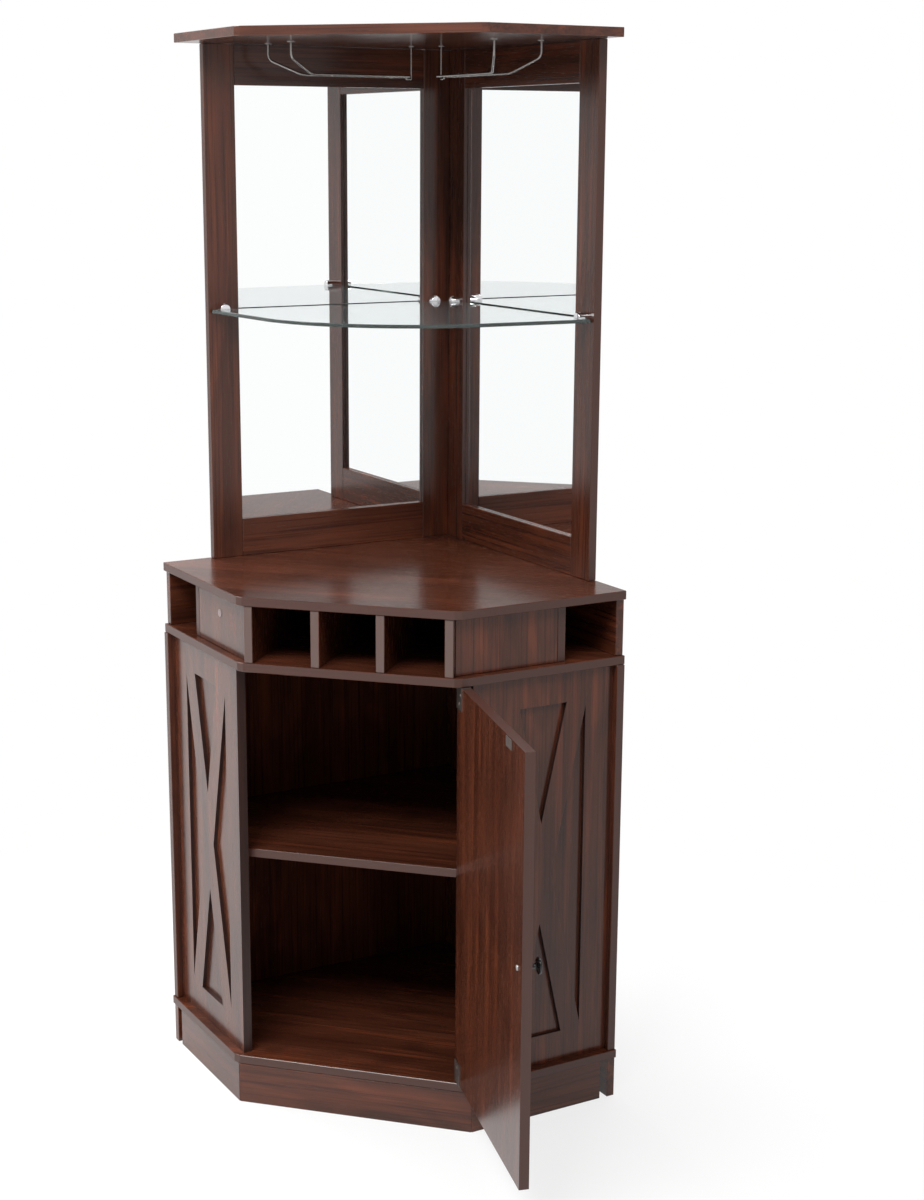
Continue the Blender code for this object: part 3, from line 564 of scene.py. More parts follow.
# %% Make the plastics
plastic_skin = (0.0006, 0.0006, 0.0006)
plastic_cloud = (0.02, 0.02, 0.02)
plastic_range = (0.35, 0.7)
plastic_pale = 0.3
plastic_lift = 1.5
plastic_dull = 0.2
plastic_bump = 0.12


def moulded(name, colour, gloss):
    """Moulded plastic with a fine skin."""
    made = Finish(name)
    point = own_point(made)
    skin = noise(made, stretched(made, point, plastic_skin), 2.0, 0.5)
    cloud = noise(made, stretched(made, point, plastic_cloud), 3.0, 0.5)
    paler = tuple(plastic_lift * c for c in colour)
    tone = mix_colour(made, step_up(made, cloud, *plastic_range) * plastic_pale, colour, paler)
    normal = made.add("ShaderNodeBump", None, {"Strength": plastic_bump, "Distance": skin_deep,
                                               "Height": skin})
    return made.surface(base_color=tone, roughness=gloss + (cloud - 0.5) * plastic_dull, normal=normal)


black_knob = moulded("black_knob", (0.012, 0.011, 0.012), 0.26)
brown_plastic = moulded("brown_plastic", (0.030, 0.018, 0.014), 0.48)
pale_cap = moulded("pale_cap", (0.215, 0.170, 0.165), 0.42)
dress(brown_plastic, "magnet_catch")
print("three plastics made")

# %% [markdown]
# ## Hardboard
#
# The backing of each mirror is brown hardboard, which is pressed from wet fibre.
# A plain brown would be enough from afar. Close up the sheet is cloudy where the
# fibre lay thicker, and a felt of short dark fibres shows in its skin.

# %% Make the hardboard
board_dark = (0.105, 0.055, 0.030)
board_pale = (0.155, 0.088, 0.050)
fibre_dark = (0.060, 0.031, 0.018)
fibre_size = (0.0022, 0.0010, 0.0022)
thick_size = (0.09, 0.09, 0.09)
thick_range = (0.3, 0.7)
fibre_range = (0.5, 0.75)
fibre_share = 0.5
board_gloss = 0.62
board_dull = 0.3
fibre_bump = 0.35
fibre_deep = 0.0003


def hardboard():
    """Brown fibre sheet behind the mirrors."""
    made = Finish("hardboard")
    point = own_point(made)
    fibre = noise(made, stretched(made, point, fibre_size), 3.0, 0.7)
    cloud = noise(made, stretched(made, point, thick_size), 4.0, 0.6)
    tone = mix_colour(made, step_up(made, cloud, *thick_range), board_dark, board_pale)
    tone = mix_colour(made, step_up(made, fibre, *fibre_range) * fibre_share, tone, fibre_dark)
    normal = made.add("ShaderNodeBump", None, {"Strength": fibre_bump, "Distance": fibre_deep,
                                               "Height": fibre})
    return made.surface(base_color=tone, roughness=board_gloss + (cloud - 0.5) * board_dull, normal=normal)


dress(hardboard(), *both("mirror_backing"))
print("hardboard made")

# %% [markdown]
# ## Making small parts in mesh code
#
# Most fittings are turned on a lathe or bent from wire. Both have a plain
# recipe: a profile spun round an axis, or a ring carried along a path. Ready
# primitives would give the rough form at once, but no collars, rounded rims or
# recesses, so the points are worked out here.

# %% Turned and bent parts
lathe_sides = 48
wire_sides = 20


def circle(count):
    """Angles round a full turn."""
    return [2 * math.pi * k / count for k in range(count)]


def turned(profile, sides=lathe_sides):
    """Body of revolution from (radius, height) points, closed on the axis."""
    bm = bmesh.new()
    rings = []
    for radius, height in profile:
        if radius == 0.0:
            rings.append([bm.verts.new((0.0, 0.0, height))] * sides)
            continue
        rings.append([bm.verts.new((radius * math.cos(a), radius * math.sin(a), height))
                      for a in circle(sides)])
    for lower, upper in zip(rings, rings[1:]):
        for k in range(sides):
            m = (k + 1) % sides
            corners = [lower[k], lower[m], upper[m], upper[k]]
            bm.faces.new(list(dict.fromkeys(corners)))
    return bm


def bent(path, radii, sides=wire_sides):
    """Round wire along a path, closed at both ends."""
    bm = bmesh.new()
    across = None
    rings = []
    for i, point in enumerate(path):
        ahead = path[min(i + 1, len(path) - 1)]
        behind = path[max(i - 1, 0)]
        along = (ahead - behind).normalized()
        across = across or along.orthogonal()
        across = (across - along * across.dot(along)).normalized()
        other = along.cross(across)
        rings.append([bm.verts.new(point + (across * math.cos(a) + other * math.sin(a)) * radii[i])
                      for a in circle(sides)])
    bm.faces.new(list(reversed(rings[0])))
    bm.faces.new(rings[-1])
    for first, second in zip(rings, rings[1:]):
        for k in range(sides):
            m = (k + 1) % sides
            bm.faces.new((first[k], first[m], second[m], second[k]))
    return bm


def rounded(points, radius, steps=8):
    """Replace each inner corner of a path by a short curve."""
    points = [Vector(p) for p in points]
    path = [points[0]]
    for before, here, after in zip(points, points[1:], points[2:]):
        reach = min(radius, (before - here).length * 0.45, (after - here).length * 0.45)
        start = here + (before - here).normalized() * reach
        end = here + (after - here).normalized() * reach
        for i in range(steps + 1):
            t = i / steps
            path.append(start * (1 - t) ** 2 + here * 2 * t * (1 - t) + end * t ** 2)
    path.append(points[-1])
    return path


print("parts can be turned and bent")

# %% [markdown]
# ## Blocks, and putting a part together
#
# A part often has several bodies, each made round its own axis and then moved
# to its place, which is kept in the mesh. The finished part is smoothed where
# its faces meet softly, takes its material, and rides on the body it belongs to.

# %% Blocks and finished fittings
smooth_angle = math.radians(38.0)


def block(low, high, edge):
    """Box between two corners with its edges rounded off."""
    bm = bmesh.new()
    bmesh.ops.create_cube(bm, size=1.0)
    size = Vector(high) - Vector(low)
    middle = (Vector(high) + Vector(low)) / 2
    bmesh.ops.scale(bm, vec=size, verts=bm.verts)
    bmesh.ops.translate(bm, vec=middle, verts=bm.verts)
    bmesh.ops.bevel(bm, geom=bm.edges, offset=edge, segments=2, profile=0.5, affect="EDGES")
    return bm


def joined(parts):
    """One mesh from several (bmesh, place) pairs, each moved to its place."""
    mesh = bpy.data.meshes.new("parts")
    whole = bmesh.new()
    for bm, place in parts:
        bmesh.ops.transform(bm, matrix=place, verts=bm.verts)
        bmesh.ops.recalc_face_normals(bm, faces=bm.faces)
        bm.to_mesh(mesh)
        whole.from_mesh(mesh)
        bm.free()
    bpy.data.meshes.remove(mesh)
    return whole


def fitting(name, parts, material, slot, body, *stands_for):
    """Finish a part: smooth it, give it its material, and let it ride."""
    mesh = bpy.data.meshes.new(name)
    whole = joined(parts)
    whole.to_mesh(mesh)
    whole.free()
    mesh.shade_smooth()
    mesh.set_sharp_from_angle(angle=smooth_angle)
    mesh.materials.append(material)
    piece = bpy.data.objects.new(name, mesh)
    bpy.context.scene.collection.objects.link(piece)
    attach(piece, body)
    if stands_for:
        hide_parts(*stands_for)
    print(name, "has", len(mesh.polygons), "faces")


print("fittings can be put together")

# %% [markdown]
# ## Places on the cabinet
#
# The fittings need a few places from the construction model. Heights, and the
# middles of pieces whose halves are alike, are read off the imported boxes, and the
# hinge line off the joint. The knob, clips and racks fill their boxes unevenly,
# so their places are distances instead: out from the room corner and away from a
# wall, or along the door from its hinge line.

# %% Room corner, walls and hinge line
corner_y = 0.613871
frame_thick = 0.015
door_half_thick = 0.008
fit_gap = 0.0003


def middle_of(node):
    """Middle of the box of a CAD piece."""
    low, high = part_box(node)
    return (low + high) / 2


top_board_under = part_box("top_board")[0].z
hinge_line = Vector((*door_hinge["pos_m"][:2], middle_of("door").z))
hinge_place = Matrix.Translation(hinge_line) @ Matrix.Rotation(door_turn, 4, "Z")
in_place = Matrix.Identity(4)
to_back = Matrix.Rotation(-quarter_turn, 4, "X")
to_front = Matrix.Rotation(quarter_turn, 4, "X")


def by_wall(side, out, off, height=0.0):
    """Point out from the room corner and off the wall, on the left (-1) or right (1)."""
    return Vector((side * (out - off) * slope, corner_y - (out + off) * slope, height))


def on_wall(side, out, off, height):
    """Frame at such a point, with X along the wall and -Y into the room."""
    turn = Matrix.Rotation(-wall_turn * side, 4, "Z")
    return Matrix.Translation(by_wall(side, out, off, height)) @ turn


def on_door(x, y, z):
    """Frame at a point of the door, measured from its hinge line at mid height."""
    return hinge_place @ Matrix.Translation((x, y, z))


print("hinge line at", tuple(round(v, 4) for v in hinge_line))

# %% [markdown]
# ## Wire racks
#
# Each rack is one chromed wire, bent into a narrow loop whose mouth flares out
# and up at the front. Its two legs end in round collars under the top board. A
# curve with a round bevel would give the wire, but a ring carried along the path
# can also start wide, so that collar and wire are one body.

# %% Bend the wire of a rack
wire_radius = 0.0021
rack_off = 0.107
mouth_half = 0.045
loop_half = 0.0175
flare_at = 0.345
leg_at = 0.396
loop_end = 0.150
rack_drop = 0.051
leg_straight = 0.026
bend_radius = 0.010
turn_steps = 16
wire_collar = 0.0075
collar_steps = ((0.0, 1.0), (0.0006, 1.0), (0.0011, 0.93), (0.0015, 0.74), (0.0019, 0.0))


def collar(start, wide, thin):
    """Path and radii of a round collar that narrows to the wire below it."""
    path = [start - Vector((0.0, 0.0, down)) for down, _ in collar_steps]
    radii = [thin + (wide - thin) * share for _, share in collar_steps]
    return path, radii


def rack_wire(side):
    """Loop of wire with two flared legs, in world coordinates."""
    top = top_board_under - fit_gap
    rail = top_board_under - rack_drop
    legs = []
    for hand in (1, -1):
        run = [by_wall(side, leg_at, rack_off + hand * mouth_half, top),
               by_wall(side, leg_at, rack_off + hand * mouth_half, top - leg_straight),
               by_wall(side, flare_at, rack_off + hand * loop_half, rail),
               by_wall(side, loop_end + loop_half, rack_off + hand * loop_half, rail)]
        legs.append(rounded(run, bend_radius))
    turn = []
    for k in range(1, turn_steps):
        a = math.pi * k / turn_steps
        out = loop_end + loop_half * (1 - math.sin(a))
        turn.append(by_wall(side, out, rack_off + loop_half * math.cos(a), rail))
    head, head_radii = collar(legs[0][0], wire_collar, wire_radius)
    foot, foot_radii = collar(legs[1][0], wire_collar, wire_radius)
    middle = legs[0][1:] + turn + list(reversed(legs[1][1:]))
    path = head + middle + list(reversed(foot))
    return bent(path, head_radii + [wire_radius] * len(middle) + list(reversed(foot_radii)))


print("loop", round(1000 * (leg_at - loop_end)), "mm long and", round(2000 * loop_half), "mm wide")

# %% [markdown]
# ## Hooks of the racks
#
# A thinner hook carries the closed end of each loop. It could be a closed eye,
# but an open hook lets the loop be laid in once the legs are fixed. It is bent
# from the same kind of path, and its free end is drawn in to a blunt tip.

# %% Bend the hooks and hang the racks
hook_radius = 0.0016
hook_collar = 0.0060
hook_half = 0.005
hook_lip = 0.0046
tip_long_share = 0.6
tip_thin_share = 0.45


def rack_hook(side):
    """Hook that hangs from the top board and carries the loop's closed end."""
    top = top_board_under - fit_gap
    low = top_board_under - rack_drop - wire_radius - fit_gap - hook_radius
    near, far = loop_end - hook_half, loop_end + hook_half
    run = [by_wall(side, near, rack_off, top), by_wall(side, near, rack_off, low),
           by_wall(side, far, rack_off, low), by_wall(side, far, rack_off, low + hook_lip)]
    path = rounded(run, wire_radius, steps=6)
    head, head_radii = collar(path[0], hook_collar, hook_radius)
    tip = [path[-1] + Vector((0.0, 0.0, hook_radius * tip_long_share))]
    radii = head_radii + [hook_radius] * (len(path) - 1) + [hook_radius * tip_thin_share]
    return bent(head + path[1:] + tip, radii)


for side, hand in ((-1, "left"), (1, "right")):
    fitting("stemware_wire_" + hand, [(rack_wire(side), in_place)], wire_plate, "chrome_plate", "cabinet",
            "stemware_rack_" + hand)
    fitting("wire_hook_" + hand, [(rack_hook(side), in_place)], wire_plate, "chrome_plate", "cabinet",
            "rack_hook_" + hand)

# %% [markdown]
# ## Clips of the glass shelf
#
# Four chromed bars stand off the mirror frames. Each has a slot for the edge of
# the glass, and a small grub screw from above that presses on it. A slot could
# be cut with a Boolean, but the bar is simpler as two jaws on one round root.

# %% Build one clip
clip_radius = 0.009
clip_root = 0.0034
clip_reach = 0.019
clip_lift = 0.0040
slot_half = 0.0033
upper_steps = 32
lower_steps = 16
rim_steps = ((0.0009, 0.0), (0.00045, 0.00012), (0.00012, 0.00045), (0.0, 0.0009))


def jaw_outline(above):
    """Part of the bar's round section above or below the slot."""
    level = slot_half if above else -slot_half
    reach = math.sqrt(clip_radius ** 2 - (level - clip_lift) ** 2)
    start = math.atan2(level - clip_lift, reach)
    sweep = math.pi - 2 * start if above else -(math.pi + 2 * start)
    count = upper_steps if above else lower_steps
    angles = [start + sweep * k / count for k in range(count + 1)]
    return [(clip_radius * math.cos(a), clip_radius * math.sin(a) + clip_lift) for a in angles]


def clip_bar():
    """Slotted bar with rounded rims, its root on the XZ plane, reaching to -Y."""
    bm = bmesh.new()
    upper = jaw_outline(True)
    lower = list(reversed(jaw_outline(False)))
    ring = upper + lower
    front = [bm.verts.new((x, -clip_root, z)) for x, z in ring]
    base = [bm.verts.new((x, 0.0, z)) for x, z in ring]
    bm.faces.new(base)
    for k in range(len(ring)):
        m = (k + 1) % len(ring)
        bm.faces.new((base[k], base[m], front[m], front[k]))
    split = len(upper)
    bm.faces.new((front[split - 1], front[split], front[-1], front[0]))
    for near, outline, cut in ((front[:split], upper, slot_half), (front[split:], lower, -slot_half)):
        rings = [near]
        for back, shrink in rim_steps:
            scale = 1 - shrink / clip_radius
            rings.append([bm.verts.new((x * scale, back - clip_reach, (z - cut) * scale + cut))
                          for x, z in outline])
        for first, second in zip(rings, rings[1:]):
            for k in range(len(outline)):
                m = (k + 1) % len(outline)
                bm.faces.new((first[k], first[m], second[m], second[k]))
        bm.faces.new(rings[-1])
    return bm


print("clip", 2000 * clip_radius, "mm across, slot", 2000 * slot_half, "mm high")

# %% [markdown]
# ## Setting the clips
#
# Two clips sit on each mirror frame, one on the outer and one on the inner
# stile, level with the glass. The grub screw is turned with a round socket. A
# hexagon would be truer, but at three millimetres it can't be told apart.

# %% Set the four clips and their grub screws
clip_outs = (0.471, 0.052)
grub_out = 0.0125
grub_sunk = 0.0014
grub_profile = ((0.0, 0.0), (0.0017, 0.0), (0.0017, 0.0016), (0.0014, 0.0019),
                (0.0009, 0.0019), (0.0009, 0.0009), (0.0, 0.0007))
small_sides = 24

spots = [(side, out) for side in (-1, 1) for out in clip_outs]
for number, (side, out) in enumerate(spots, 1):
    place = on_wall(side, out, frame_thick + fit_gap, middle_of("glass_shelf").z)
    fitting("shelf_clip_bar_%d" % number, [(clip_bar(), place)], chrome, "chrome_plate", "cabinet",
            "shelf_clip_%d" % number)
    screw_place = place @ Matrix.Translation((0.0, -grub_out, clip_lift + clip_radius - grub_sunk))
    fitting("clip_grub_%d" % number, [(turned(grub_profile, small_sides), screw_place)], zinc,
            "zinc_steel", "cabinet")

# %% [markdown]
# ## Cross-recess screws
#
# Small domed heads hold the knob, the hinge leaves, the strike plate and the
# magnet catch. The recess is what tells a screw from a rivet. A bump could fake
# it from the front, but not from the side, so it is cut out with a cross that
# tapers downwards as a driver's tip does.

# %% The dome and the cross
dome_shares = ((1.0, 0.0), (0.985, 0.30), (0.90, 0.62), (0.68, 0.88), (0.40, 0.98), (0.0, 1.0))
dome_sides = 32
cross_low = 0.55
cross_high = 1.25


def screw_dome(radius, rise):
    """Domed head without its recess, standing on the XY plane."""
    return turned([(0.0, 0.0)] + [(r * radius, h * rise) for r, h in dome_shares], dome_sides)


def cross_cutter(arm, half, deep, top):
    """Tapered cross from a depth up to a height above the head."""
    bm = bmesh.new()
    outline = [(half, half), (arm, half), (arm, -half), (half, -half), (half, -arm), (-half, -arm),
               (-half, -half), (-arm, -half), (-arm, half), (-half, half), (-half, arm), (half, arm)]
    low = [bm.verts.new((cross_low * x, cross_low * y, deep)) for x, y in outline]
    high = [bm.verts.new((cross_high * x, cross_high * y, top)) for x, y in outline]
    bm.faces.new(low)
    bm.faces.new(high)
    for k in range(len(outline)):
        m = (k + 1) % len(outline)
        bm.faces.new((low[k], low[m], high[m], high[k]))
    return bm


print("dome with", dome_sides, "sides, cross with 12 corners")

# %% [markdown]
# ## Cutting the recess
#
# A Boolean modifier works on objects, so the dome and the cross become objects
# for a moment. The result is read back as a plain mesh, and both are removed
# again. Each size of head is cut once and then copied to its places.

# %% Cut three sizes of head
arm_share = 0.50
half_share = 0.11
deep_share = 0.30
above_share = 1.6


def loose_object(name, bm):
    """Short-lived object for a Boolean."""
    mesh = bpy.data.meshes.new(name)
    bmesh.ops.recalc_face_normals(bm, faces=bm.faces)
    bm.to_mesh(mesh)
    bm.free()
    obj = bpy.data.objects.new(name, mesh)
    bpy.context.scene.collection.objects.link(obj)
    return obj


def screw_head_mesh(radius, rise):
    """Domed head standing on the XY plane, with a cross recess."""
    cross = cross_cutter(arm_share * radius, half_share * radius, deep_share * rise, above_share * rise)
    head = loose_object("dome", screw_dome(radius, rise))
    cutter = loose_object("cross", cross)
    cut = head.modifiers.new("recess", "BOOLEAN")
    cut.operation = "DIFFERENCE"
    cut.solver = "EXACT"
    cut.object = cutter
    graph = bpy.context.evaluated_depsgraph_get()
    mesh = bpy.data.meshes.new_from_object(head.evaluated_get(graph))
    for obj in (head, cutter):
        spare = obj.data
        bpy.data.objects.remove(obj)
        bpy.data.meshes.remove(spare)
    return mesh


def head_copy(mesh):
    """Fresh bmesh of a finished head."""
    bm = bmesh.new()
    bm.from_mesh(mesh)
    return bm


pan_head = screw_head_mesh(radius=0.0045, rise=0.0018)
leaf_head = screw_head_mesh(radius=0.0030, rise=0.0009)
plate_head = screw_head_mesh(radius=0.0022, rise=0.0004)
print("heads with", [len(m.polygons) for m in (pan_head, leaf_head, plate_head)], "faces")

# %% [markdown]
# ## Knob
#
# The knob is a small black button on a waist, held by a screw from inside. Its
# profile is given by a few points. Straight lines between them would show as
# steps in the highlight, so a smooth curve is drawn through the points before it
# is spun.

# %% Turn the knob and set its screw
knob_x = -0.355
knob_z = 0.00525
knob_profile = ((0.0072, 0.0), (0.0068, 0.0012), (0.0050, 0.0030), (0.0042, 0.0060), (0.0042, 0.0105),
                (0.0060, 0.0132), (0.0115, 0.0146), (0.0130, 0.0158), (0.0130, 0.0172), (0.0122, 0.0186),
                (0.0090, 0.0193), (0.0045, 0.0195))
knob_high = 0.0195
screw_hole = 0.0025
screw_deep = 0.009
shank_long = 0.0238
shank_radius = 0.0021


def through(points, steps=5):
    """Smooth curve through profile points."""
    points = [Vector(p) for p in points]
    ends = [points[0] * 2 - points[1]] + points + [points[-1] * 2 - points[-2]]
    curve = []
    for a, b, c, d in zip(ends, ends[1:], ends[2:], ends[3:]):
        for i in range(steps):
            t = i / steps
            curve.append((b * 2 + (c - a) * t + (a * 2 - b * 5 + c * 4 - d) * t ** 2
                          + (b * 3 - a - c * 3 + d) * t ** 3) / 2)
    return [(p.x, p.y) for p in curve + [points[-1]]]


profile = [(0.0, screw_deep), (screw_hole, screw_deep), (screw_hole, 0.0)]
profile += through(knob_profile) + [(0.0, knob_high)]
front_of_door = on_door(knob_x, -door_half_thick - fit_gap, knob_z) @ to_front
fitting("knob_button", [(turned(profile), front_of_door)], black_knob, "black_knob", "door", "knob")

shank = turned([(0.0, -shank_long), (shank_radius, -shank_long), (shank_radius, 0.0), (0.0, 0.0)],
               small_sides)
back_of_door = on_door(knob_x, door_half_thick + fit_gap, knob_z) @ to_back
fitting("knob_cross_screw", [(shank, back_of_door), (head_copy(pan_head), back_of_door)], zinc,
        "zinc_steel", "door", "knob_screw")

# %% [markdown]
# ## Screws of the hinges, the strike plate and the catch
#
# Two screws hold each hinge leaf, two the strike plate, and two the magnet
# catch from below. They ride on what they hold: the door or the cabinet. The
# catch also shows the two steel edges that draw the strike plate.

# %% Set the small screws and the catch's steel edges
leaf_thick = 0.0012
leaf_spots = ((-0.0185, 0.012), (-0.0105, 0.028))
strike_spots = (-0.0124, 0.0124)
catch_screw_spots = (-0.015, 0.015)
catch_screw_back = 0.001
pole_half_wide = 0.0095
pole_half_thick = 0.0008
pole_spots = (-0.0026, 0.0026)
pole_proud = 0.0003
pole_deep = 0.0030
pole_edge = 0.0002
to_below = Matrix.Rotation(2 * quarter_turn, 4, "X")

half_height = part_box("door")[1].z - hinge_line.z
leaf_face = door_half_thick + fit_gap + leaf_thick
for up, word in ((1, "top"), (-1, "bottom")):
    heads = [(head_copy(leaf_head), on_door(x, leaf_face, up * (half_height - drop)) @ to_back)
             for x, drop in leaf_spots]
    fitting("hinge_screws_" + word, heads, bronzed, "zinc_steel", "door")

strike = hinge_place.inverted() @ middle_of("strike_plate")
heads = [(head_copy(plate_head), on_door(strike.x + dx, leaf_face, strike.z) @ to_back)
         for dx in strike_spots]
fitting("strike_screws", heads, bronzed, "zinc_steel", "door")

catch_middle = middle_of("magnet_catch")
catch_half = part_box("magnet_catch")[1] - catch_middle
heads = []
for dx in catch_screw_spots:
    under = catch_middle + Vector((dx, catch_screw_back, -catch_half.z))
    heads.append((head_copy(leaf_head), Matrix.Translation(under) @ to_below))
fitting("catch_screws", heads, zinc, "zinc_steel", "cabinet")

poles = []
for dz in pole_spots:
    low = (-pole_half_wide, -catch_half.y - pole_proud, dz - pole_half_thick)
    high = (pole_half_wide, -catch_half.y + pole_deep, dz + pole_half_thick)
    poles.append((block(low, high, pole_edge), Matrix.Translation(catch_middle)))
fitting("catch_poles", poles, zinc, "zinc_steel", "cabinet")

# %% [markdown]
# ## Cover cap
#
# A low moulded disc hides the fitting behind the left filler. Turned with a
# soft rim, it catches light as a thin ring.

# %% Mould the cover cap
cap_radius = 0.0067
cap_shares = ((0.0, 0.0), (1.0, 0.0), (1.0, 0.45), (0.97, 0.75), (0.90, 0.95), (0.80, 1.0), (0.0, 1.04))
cap_thick = 0.0011
outward = Vector((-slope, -slope, 0.0))
cap_foot = Matrix.Translation(middle_of("cam_cap") - outward * cap_thick / 2)
cap_place = cap_foot @ Matrix.Rotation(-wall_turn, 4, "Z") @ to_front
profile = [(r * cap_radius, h * cap_thick) for r, h in cap_shares]
fitting("cover_cap", [(turned(profile), cap_place)], pale_cap, "pale_cap", "cabinet", "cam_cap")

# %% [markdown]
# ## Staples behind the mirrors
#
# Seen from behind, the hardboard that backs each mirror is held in its rebate
# by wire staples, which stand half a millimetre proud of it. Small boxes would do
# from afar, but a bent wire has the rounded shoulders of a real staple.

# %% Drive the staples
backing_near = 0.0588
backing_far = 0.4477
backing_low, backing_high = [end.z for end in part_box("mirror_backing_left")]
staple_in = 0.0045
staple_half = 0.0050
staple_wire = 0.00045
staple_deep = 0.0014
staple_bend = 0.0006
staple_sides = 8
staples_up = 6
staples_across = 3


def staple():
    """Crown of a staple along X, with both legs turned in to -Y."""
    run = [(-staple_half, -staple_deep, 0.0), (-staple_half, 0.0, 0.0),
           (staple_half, 0.0, 0.0), (staple_half, -staple_deep, 0.0)]
    path = rounded(run, staple_bend, steps=3)
    return bent(path, [staple_wire] * len(path), staple_sides)


upright = Matrix.Rotation(quarter_turn, 4, "Y")
for side, hand in ((-1, "left"), (1, "right")):
    spots = []
    for k in range(staples_up):
        height = backing_low + (backing_high - backing_low) * (k + 0.5) / staples_up
        for out in (backing_near + staple_in, backing_far - staple_in):
            spots.append((staple(), on_wall(side, out, 0.0, height) @ upright))
    for k in range(staples_across):
        out = backing_near + (backing_far - backing_near) * (k + 0.5) / staples_across
        for height in (backing_low + staple_in, backing_high - staple_in):
            spots.append((staple(), on_wall(side, out, 0.0, height)))
    fitting("backing_staples_" + hand, spots, zinc, "zinc_steel", "cabinet")

# %% [markdown]
# ## Glue in the corner mitres
#
# The boards along the two walls meet in mitres at the room corner. A hairline
# of dark glue fills each mitre, and a thin bead of what was pressed out lies
# along its back. Together they let no light through from behind.

# %% Close the mitres
glue_half = 0.00010
bead_half = 0.00030
bead_start = 0.00012
bead_end = 0.00052
mitre_long = 0.0190
board_back = 0.61151
frame_back = 0.61293
mitre_backs = {"plinth_wall_left": board_back, "wall_panel_left": board_back,
               "rack_wall_left": board_back, "stile_inner_left": frame_back}
lines = []
for node, back in mitre_backs.items():
    low, high = [end.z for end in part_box(node)]
    foot, head = low + fit_gap, high - fit_gap
    filled = block((-glue_half, back - mitre_long, foot), (glue_half, back - 2 * glue_half, head),
                   glue_half / 4)
    bead = block((-bead_half, back + bead_start, foot), (bead_half, back + bead_end, head), glue_half / 2)
    lines += [(filled, in_place), (bead, in_place)]
fitting("mitre_glue_lines", lines, brown_plastic, "brown_plastic", "cabinet")

# %% [markdown]
# ## Who sees the studio
#
# The studio has to look white and still light the wood softly. One white room
# would do both at once and wash the wood out, so what a ray finds depends on
# what kind of ray it is: one that only shows the room, directly, through the
# glass or in a gloss, or one that gathers light.

# %% Masks for the kinds of rays


def larger(graph, first, second):
    """The larger of two values."""
    return graph.add("ShaderNodeMath", {"operation": "MAXIMUM"}, {0: first, 1: second})


def who_looks(graph):
    """Masks of the rays that only show things: seen directly or through glass, and mirrored."""
    path = graph.add("ShaderNodeLightPath", take="Is Camera Ray")
    return larger(graph, path, path.other("Is Transmission Ray")), path.other("Is Glossy Ray")


print("masks for shown and mirrored rays ready")

# %% [markdown]
# ## The floor
#
# A white floor runs on behind the cabinet. Near the cabinet it keeps its soft
# shadow, and further out it fades into pure white, so no horizon is seen. A
# curved backdrop would hide the horizon too, but it would show in the mirrors.
# In reflections the floor is lifted part of the way to white, and fully far out.

# %% Lay the floor
floor_half = 14.0
floor_white = (0.80, 0.80, 0.80)
floor_dull = 0.9
floor_glow = 0.76
floor_shine = 0.62
fade_middle = (0.0, 0.2, 0.0)
fade_range = (0.60, 1.45)
shine_range = (3.5, 6.0)


def make_floor():
    """Large pale floor that lifts to white for the camera and keeps shadows."""
    made = Finish("floor_white")
    made.surface(base_color=floor_white, roughness=floor_dull)
    reach = made.add("ShaderNodeVectorMath", {"operation": "DISTANCE"},
                     {0: own_point(made), 1: fade_middle}, take="Value")
    seen, mirrored = who_looks(made)
    shown = seen * (floor_glow + (1 - floor_glow) * step_up(made, reach, *fade_range))
    shone = mirrored * (floor_shine + (1 - floor_shine) * step_up(made, reach, *shine_range))
    lift = larger(made, shown, shone)
    glow = made.add("ShaderNodeEmission", None, {"Color": (1.0, 1.0, 1.0), "Strength": 1.0})
    mixed = made.add("ShaderNodeMixShader", None,
                     {0: lift, 1: Strand(made, made.shader.outputs[0]), 2: glow})
    made.fill(made.tree.nodes["Material Output"].inputs["Surface"], mixed)
    mesh = bpy.data.meshes.new("floor")
    corners = [(-floor_half, -floor_half, 0.0), (floor_half, -floor_half, 0.0),
               (floor_half, floor_half, 0.0), (-floor_half, floor_half, 0.0)]
    mesh.from_pydata(corners, [], [(0, 1, 2, 3)])
    mesh.materials.append(made.material)
    floor = bpy.data.objects.new("floor", mesh)
    bpy.context.scene.collection.objects.link(floor)


make_floor()
print("floor", 2 * floor_half, "m wide")

# %% [markdown]
# ## The world
#
# The sky gives an even light of low strength, but it shows as pure white. In
# reflections it is a white wall under a dimmer ceiling, which is darkest on the
# right. A ceiling as white as the wall would be simpler, but glass and chrome
# would look flat, and the level boards would look pale.

# %% Set the sky
ambient = 0.29
ceiling_light = 0.32
ceiling_tilt = 0.28
cove_range = (0.07, 0.35)


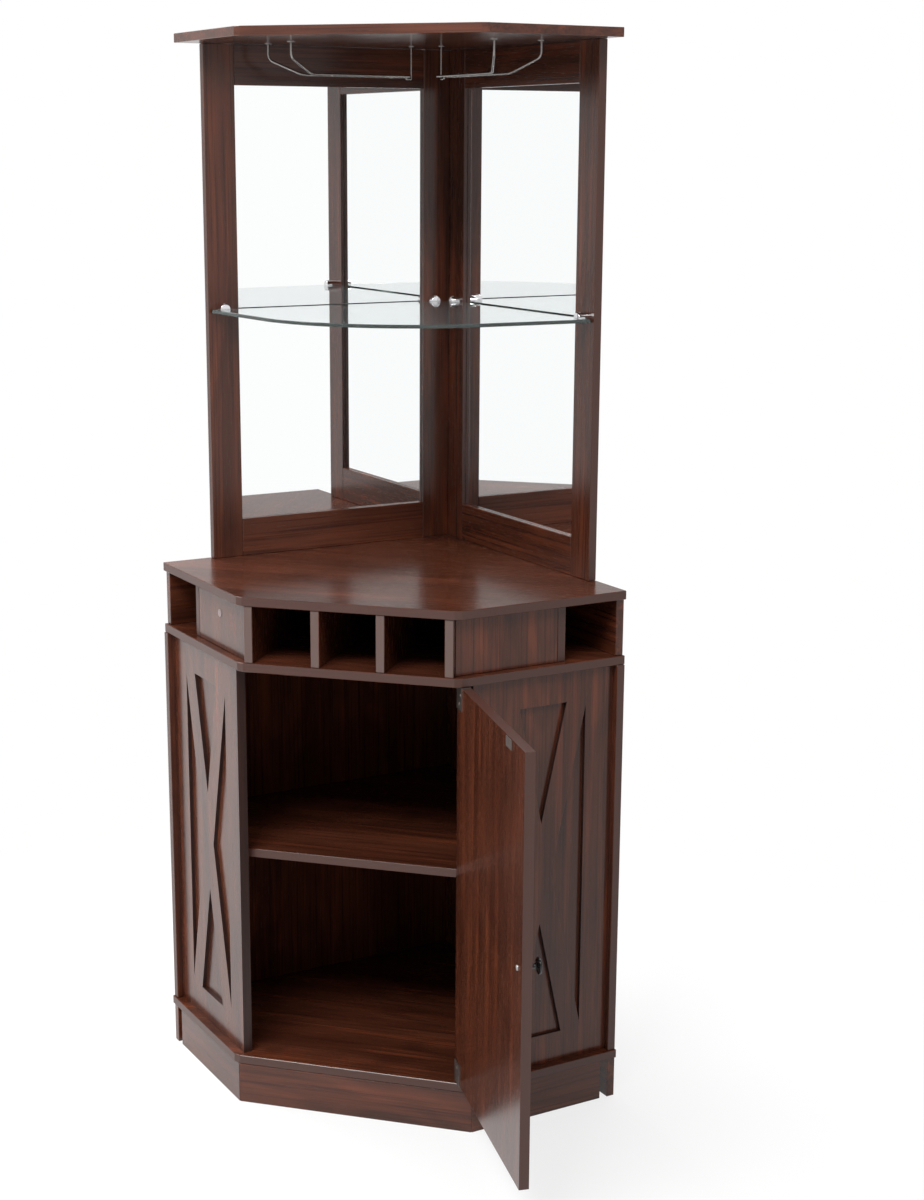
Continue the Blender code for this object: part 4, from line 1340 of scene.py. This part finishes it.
def make_world():
    """Even light of low strength that shows as white, with a dimmer ceiling in reflections."""
    world = bpy.data.worlds.new("studio")
    bpy.context.scene.world = world
    world.use_nodes = True
    sky = Graph(world.node_tree)
    back = world.node_tree.nodes["Background"]
    sky.fill(back.inputs["Color"], (1.0, 1.0, 1.0))
    seen, mirrored = who_looks(sky)
    direction = sky.add("ShaderNodeTexCoord", take="Generated")
    up = sky.add("ShaderNodeSeparateXYZ", None, {0: direction}, take="Z")
    dim = 1 - ceiling_light + ceiling_tilt * up.other("X")
    room = 1 - dim * step_up(sky, up, *cove_range)
    shown = larger(sky, seen, mirrored * room)
    lit = (1 - larger(sky, seen, mirrored)) * ambient
    sky.fill(back.inputs["Strength"], lit + shown)


make_world()
print("sky strength", ambient)

# %% [markdown]
# ## The lamps
#
# Four soft panels give the shadows and the sheen on the wood. Point lamps would
# throw hard shadows, and a picture of a sky would bring its own horizon. Each
# row holds a panel's place, the point it is aimed at, its width and height in
# metres, its spread in degrees and its power in watts.

# %% Hang the lamps
lamps = {
    "front_panel": ((-0.7, -2.3, 3.7), (-0.5, -1.2, 0.0), 2.2, 1.4, 180.0, 168.0),
    "right_panel": ((1.4, -1.5, 3.5), (0.3, -0.1, 0.6), 1.6, 1.2, 150.0, 24.0),
    "left_panel": ((-2.9, 1.3, 3.0), (-2.7, 1.0, 0.0), 4.0, 3.4, 120.0, 175.0),
    "back_panel": ((0.6, 2.9, 3.6), (0.0, 0.3, 0.9), 3.0, 1.5, 180.0, 45.0),
}


def soft_panel(name, place, target, wide, high, spread, power):
    """Rectangular soft light aimed at a point, its spread held in by a grid."""
    data = bpy.data.lights.new(name, "AREA")
    data.shape = "RECTANGLE"
    data.size = wide
    data.size_y = high
    data.spread = math.radians(spread)
    data.energy = power
    lamp = bpy.data.objects.new(name, data)
    bpy.context.scene.collection.objects.link(lamp)
    lamp.location = place
    lamp.rotation_mode = "QUATERNION"
    lamp.rotation_quaternion = (Vector(target) - Vector(place)).to_track_quat("-Z", "Y")


for name, settings in lamps.items():
    soft_panel(name, *settings)
bpy.context.scene.view_settings.view_transform = "Standard"
print(len(lamps), "soft panels hung")
